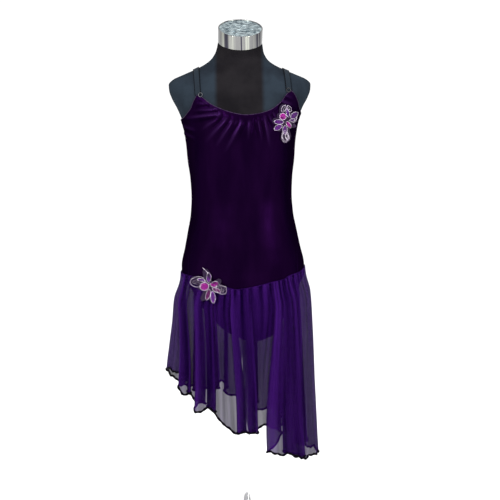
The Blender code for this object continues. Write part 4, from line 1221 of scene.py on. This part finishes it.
def add_skirt(node, laps, drops, finish, hem_finish):
    """Half of the skirt, pleated between its stations, with its rolled hem."""
    coarse = np.array(lap_stations(laps, node == "skirt_front"))
    index = np.arange(len(coarse), dtype=float)
    paths = smooth_table(np.column_stack([index, coarse]))
    middle = skirt_points(coarse, np.array([[LENGTH_ROW]]), MEAN_DROP, 0.0)[:, 0]
    fine = [np.array([0.0])]
    for i, step in enumerate(np.linalg.norm(np.diff(middle, axis=0), axis=-1)):
        count = max(3, math.ceil(step / SKIRT_PITCH))
        fine.append(i + np.arange(1, count + 1) / count)
    fine = np.concatenate(fine)
    length = np.interp(fine, index, running_length(middle))
    stations = np.column_stack([path(fine) for path in paths])
    share = np.linspace(0, 1, SKIRT_ROWS + 1)[None, :] ** ROW_POWER
    drop = smooth_table(drops)[0](length / length[-1])[:, None]
    drop = drop + waves(length, HEM_WAVES)[:, None] * share**3
    along = length[:, None]
    wrinkle = waves(along, [(high, long, start + turn * share)
                            for high, long, start, turn in WRINKLES])
    shade = pleat_shade(stations[:, 2], length, share, drop, wrinkle / WRINKLE_HEIGHT)
    fade = HEM_WRINKLES + (1 - HEM_WRINKLES) * np.exp(-share / WRINKLE_FADE)
    wrinkle = wrinkle * fade
    points = skirt_points(stations, share, drop, wrinkle)
    v = np.broadcast_to(-drop * share, points.shape[:2])
    flat = np.stack([np.broadcast_to(along, points.shape[:2]), v], axis=-1)
    mesh = grid_mesh(f"{node}_chiffon", points, flat, turned=True, shade=shade)
    piece = finish_mesh(f"{node}_chiffon", mesh, finish, (node,))
    roll = HEM_RADIUS * (1 + waves(length, HEM_ROLL))
    tube = tube_mesh(f"{node}_hem", points[:, -1], roll)
    return piece, finish_mesh(f"{node}_hem", tube, hem_finish)


def add_seam_tape(name, first, last, finish):
    """The skirt's sewn edge, a small ruched cord over the top of its layers."""
    angle = np.linspace(first, last, TAPE_STEPS)
    seam = SEAM_AT(angle)
    ruche = RUCHE_RISE * np.sin(np.radians(angle) * RUCHE_TURNS)
    path = on_form(angle, np.maximum(seam, BRIEF_TOP), CLOTH_OUT + WALL + TAPE_RADIUS + ruche)
    path[:, 2] = seam
    radius = TAPE_RADIUS * (1 + TAPE_BUMPS * np.sin(np.radians(angle) * TAPE_TURNS))
    finish_mesh(name, tube_mesh(name, path, radius), finish)


# The beaded flowers

def over_bodice(x, z, out):
    return on_form(angle_at(x, FORM_HALF(z)), z, CLOTH_OUT + WALL + BODICE_CLEARANCE + out)


def over_hip(x, z, out):
    """Over the leotard above the skirt's seam, and over the skirt's pleats below it."""
    angle = angle_at(x, FORM_HALF(np.maximum(z, FORM_BOTTOM)))
    seam = SEAM_AT(angle)
    lift = (2 * LAP_GAP_SEAM + WALL + SEAM_CLEARANCE) * ease((seam + SEAM_LEAD - z) / SEAM_LIFT)
    above = on_form(angle, z, CLOTH_OUT + WALL + HIP_CLEARANCE + lift + out)
    point = skirt_surface(angle, z, seam)
    normal = unit(point * np.array([1.0, 2.0, 0.0]))
    below = point + normal * (LAP_GAP_SEAM + WALL / 2 + PLEAT_CLEARANCE + out)[..., None]
    return np.where((z > seam)[..., None], above, below)


def laid(petal, along, aside):
    """Points given along and across a petal, in millimetres from the flower's centre."""
    x, z, direction = petal[0], petal[1], math.radians(petal[4])
    c, s = math.cos(direction), math.sin(direction)
    return np.column_stack([x + along * c - aside * s, z + along * s + aside * c])


def pointed_oval(petal, count=80, scale=1.0):
    """The outline of a petal."""
    length, width = petal[2:4]
    turn = np.linspace(0, 2 * np.pi, count, endpoint=False)
    along = np.cos(turn) * length / 2 * scale
    side = np.sign(np.sin(turn)) * np.abs(np.sin(turn)) ** PETAL_POINT
    aside = side * width / 2 * scale
    return laid(petal, along, aside)


def even_points(outline, pitch, closed=True):
    """Points an even pitch apart along an outline."""
    if closed:
        outline = np.concatenate([outline, outline[:1]])
    run = running_length(outline)
    count = max(2, round(run[-1] / pitch))
    at = np.linspace(0, run[-1], count, endpoint=not closed)
    return np.column_stack([np.interp(at, run, outline[:, k]) for k in (0, 1)])


def filled_points(petal, pitch, scale):
    """Points of a staggered grid inside a petal, and how high each lies on its dome."""
    length, width = petal[2:4]
    a, b = np.mgrid[-FILL_REACH:FILL_REACH + 1, -FILL_REACH:FILL_REACH + 1]
    along = (a + 0.5 * (b % 2)) * pitch
    aside = b * pitch * FILL_STAGGER
    fill = ((np.abs(along) / (length / 2 * scale)) ** DOME_POINT
            + (aside / (width / 2 * scale)) ** 2)
    keep = fill < 1
    return laid(petal, along[keep], aside[keep]), 1 - fill[keep]


def bead_row(outline, row, closed=True):
    """Spots of (x, z, out, radius) along an outline."""
    pitch, out, radius = row
    return [(*p, out, radius) for p in even_points(outline, pitch, closed)]


def bead_fill(petal, fill):
    """Spots of (x, z, out, radius) all over a petal."""
    pitch, share, out, rise, radius = fill
    points, dome = filled_points(petal, pitch, share)
    return [(*p, out + rise * d, radius) for p, d in zip(points, dome)]


def bead_piece(name, spots, shape, centre, place, finish):
    """Beads or sequins at the spots over the flower's backing, joined in one mesh."""
    ground = np.array([0, 0, APPLIQUE_THICKNESS * 1000, 0])
    x, z, out, radius = (np.array(spots) + ground).T / 1000
    x, z = x + centre[0], z + centre[1]
    point = place(x, z, out)
    right = unit(place(x + SPOT_STEP, z, out) - place(x - SPOT_STEP, z, out))
    up = unit(place(x, z + SPOT_STEP, out) - place(x, z - SPOT_STEP, out))
    away = unit(np.cross(right, up))
    random = np.random.default_rng(SEED)
    one = bmesh.new()
    shape(one)
    bead = written(one, f"one_{name}")
    work = bmesh.new()
    for p, r, n, size in zip(point, right, away, radius):
        tilt = random.normal(0, BEAD_TILT, 2)
        axis = Vector(n) + Vector(r) * tilt[0] + Vector(n).cross(Vector(r)) * tilt[1]
        turn = axis.to_track_quat("Z", "Y").to_matrix().to_4x4()
        matrix = Matrix.Translation(p) @ turn @ Matrix.Scale(size, 4)
        bead.transform(matrix)
        work.from_mesh(bead)
        bead.transform(matrix.inverted())
    bpy.data.meshes.remove(bead)
    finish_mesh(name, written(work, name), finish, smooth=shape is round_bead)


def round_bead(work):
    bmesh.ops.create_uvsphere(work, u_segments=8, v_segments=5, radius=1.0)


def cut_bead(work):
    bmesh.ops.create_icosphere(work, subdivisions=1, radius=1.0)


def sequin(work):
    bmesh.ops.create_cone(work, cap_ends=True, segments=9, radius1=1.0, radius2=0.35,
                          depth=0.28)


def lace_spots(petal):
    """Open silver beadwork inside a leaf: two loops and a few beads."""
    spots = []
    x, z, length, width, direction = petal[:5]
    c, s = math.cos(math.radians(direction)), math.sin(math.radians(direction))
    for along, size in LACE_LOOPS:
        loop = (x + along * length * c, z + along * length * s,
                width * size * LOOP_LENGTH, width * size, direction)
        spots += bead_row(pointed_oval(loop, 40), LOOP_ROW)
    return spots + bead_fill(petal, GRAIN_FILL)


def add_flower(name, centre, place, petals, discs, stems, finishes):
    """Silver bead outlines, sequin petals and bead clusters on the flower's backing."""
    silver, clusters, sequins = [], [], {"purple": [], "wine": [], "dull": []}
    for petal in petals:
        kind = petal[5]
        if kind != "dull":
            silver += bead_row(pointed_oval(petal), OUTLINE_ROW)
        if kind == "lace":
            silver += lace_spots(petal)
        elif kind == "open":
            silver += bead_row(pointed_oval(petal, scale=INNER_OUTLINE), INNER_ROW)
        elif kind == "magenta":
            clusters += bead_fill(petal, CLUSTER_FILL)
        else:
            sequins[kind] += bead_fill(petal, SEQUIN_FILL)
    for x, z, radius in discs:
        disc = (x, z, 2 * radius, 2 * radius, 0.0)
        middle = np.array([x, z])
        ring = even_points(pointed_oval(disc), RING_ROW[0]) - middle
        ring = middle + ring / np.linalg.norm(ring, axis=-1, keepdims=True) * radius
        silver += [(*p, *RING_ROW[1:]) for p in ring]
        clusters += bead_fill(disc, DISC_FILL)
    for stem in stems:
        silver += bead_row(np.array(stem), STEM_ROW, closed=False)
    for kind, spots, shape in (
        ("silver", silver, round_bead),
        ("magenta", clusters, cut_bead),
        *((kind, spots, sequin) for kind, spots in sequins.items()),
    ):
        if spots:
            bead_piece(f"{name}_{kind}", spots, shape, centre, place, finishes[kind])


# Studio and camera

def add_studio():
    """A pale floor, a white surround and large soft lights."""
    work = bmesh.new()
    bmesh.ops.create_circle(work, cap_ends=True, segments=96, radius=FLOOR_RADIUS)
    mesh = written(work, "floor")
    floor = bpy.data.objects.new("floor", mesh)
    floor.location.z = -0.0002
    bpy.context.scene.collection.objects.link(floor)
    mesh.materials.append(new_material("pale_floor", (FLOOR_TONE,) * 3, 0.8)[0])
    world = bpy.data.worlds.new("white_surround")
    world.use_nodes = True
    sky = world.node_tree.nodes["Background"].inputs
    sky["Color"].default_value = (1.0, 1.0, 1.0, 1.0)
    sky["Strength"].default_value = WORLD_LIGHT
    bpy.context.scene.world = world
    for name, place, aim, size, power in LIGHTS:
        data = bpy.data.lights.new(name, "AREA")
        data.shape = "RECTANGLE"
        data.size, data.size_y = size
        data.energy = power
        light = bpy.data.objects.new(name, data)
        light.location = place
        aim_at = Vector(aim) - Vector(place)
        light.rotation_euler = aim_at.to_track_quat("-Z", "Y").to_euler()
        bpy.context.scene.collection.objects.link(light)


def add_camera():
    data = bpy.data.cameras.new("camera")
    data.lens = 108.0
    data.sensor_width = 36.0
    data.clip_end = 60.0
    camera = bpy.data.objects.new("camera", data)
    tilt = Matrix.Rotation(CAMERA_TILT, 4, "X")
    roll = Matrix.Rotation(CAMERA_ROLL, 4, "Z")
    camera.matrix_world = Matrix.Translation(CAMERA_PLACE) @ tilt @ roll
    bpy.context.scene.collection.objects.link(camera)
    bpy.context.scene.camera = camera
    bpy.context.scene.view_settings.view_transform = "Standard"


def make_finishes():
    made = {
        "jersey": jersey_finish(), "band": band_finish(), "foil": foil_finish(),
        "pole": stand_finish("pole_metal", (0.76, 0.76, 0.77), (0.84, 0.84, 0.85)),
        "base": stand_finish("base_metal", (0.44, 0.44, 0.45), (0.52, 0.52, 0.53)),
        "stretch": stretch_finish(), "elastic": elastic_finish(),
        "chiffon": chiffon_finish(), "hem": hem_finish(), "backing": backing_finish(),
    }
    made.update((key, mottled_finish(*row)) for key, row in MOTTLED.items())
    made.update((key, bead_finish(*row)) for key, row in BEADS.items())
    return made


def main():
    add_camera()
    finishes = make_finishes()
    # The frame's own solids that stay get their finish
    for node, key in (("strap_ring_right", "ring"), ("strap_ring_left", "ring"),
                      ("applique_shoulder", "backing"), ("applique_hip", "backing")):
        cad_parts[node].data.materials[0] = finishes[key]
    add_form(finishes["jersey"])
    add_neck_cap(finishes["band"], finishes["foil"])
    add_stand(finishes["pole"], finishes["base"])
    for node, top, leg, grid, flat, area in PANELS:
        piece, trims = add_panel(node, top, leg, grid, finishes["stretch"], finishes["edge"])
    for node, side, front, back, length in STRAPS:
        piece = add_strap(node, side, front, back, finishes["elastic"])
    for node, laps, drops, under, flat, area in SKIRTS:
        piece, hem = add_skirt(node, laps, drops, finishes["chiffon"], finishes["hem"])
    for name, first, last in SEAM_TAPES:
        add_seam_tape(name, first, last, finishes["seam"])
    add_flower("shoulder_flower", SHOULDER_CENTRE, over_bodice, SHOULDER_PETALS,
               SHOULDER_DISCS, SHOULDER_STEMS, finishes)
    add_flower("hip_flower", HIP_CENTRE, over_hip, HIP_PETALS, HIP_DISCS, HIP_STEMS,
               finishes)
    add_studio()


main()
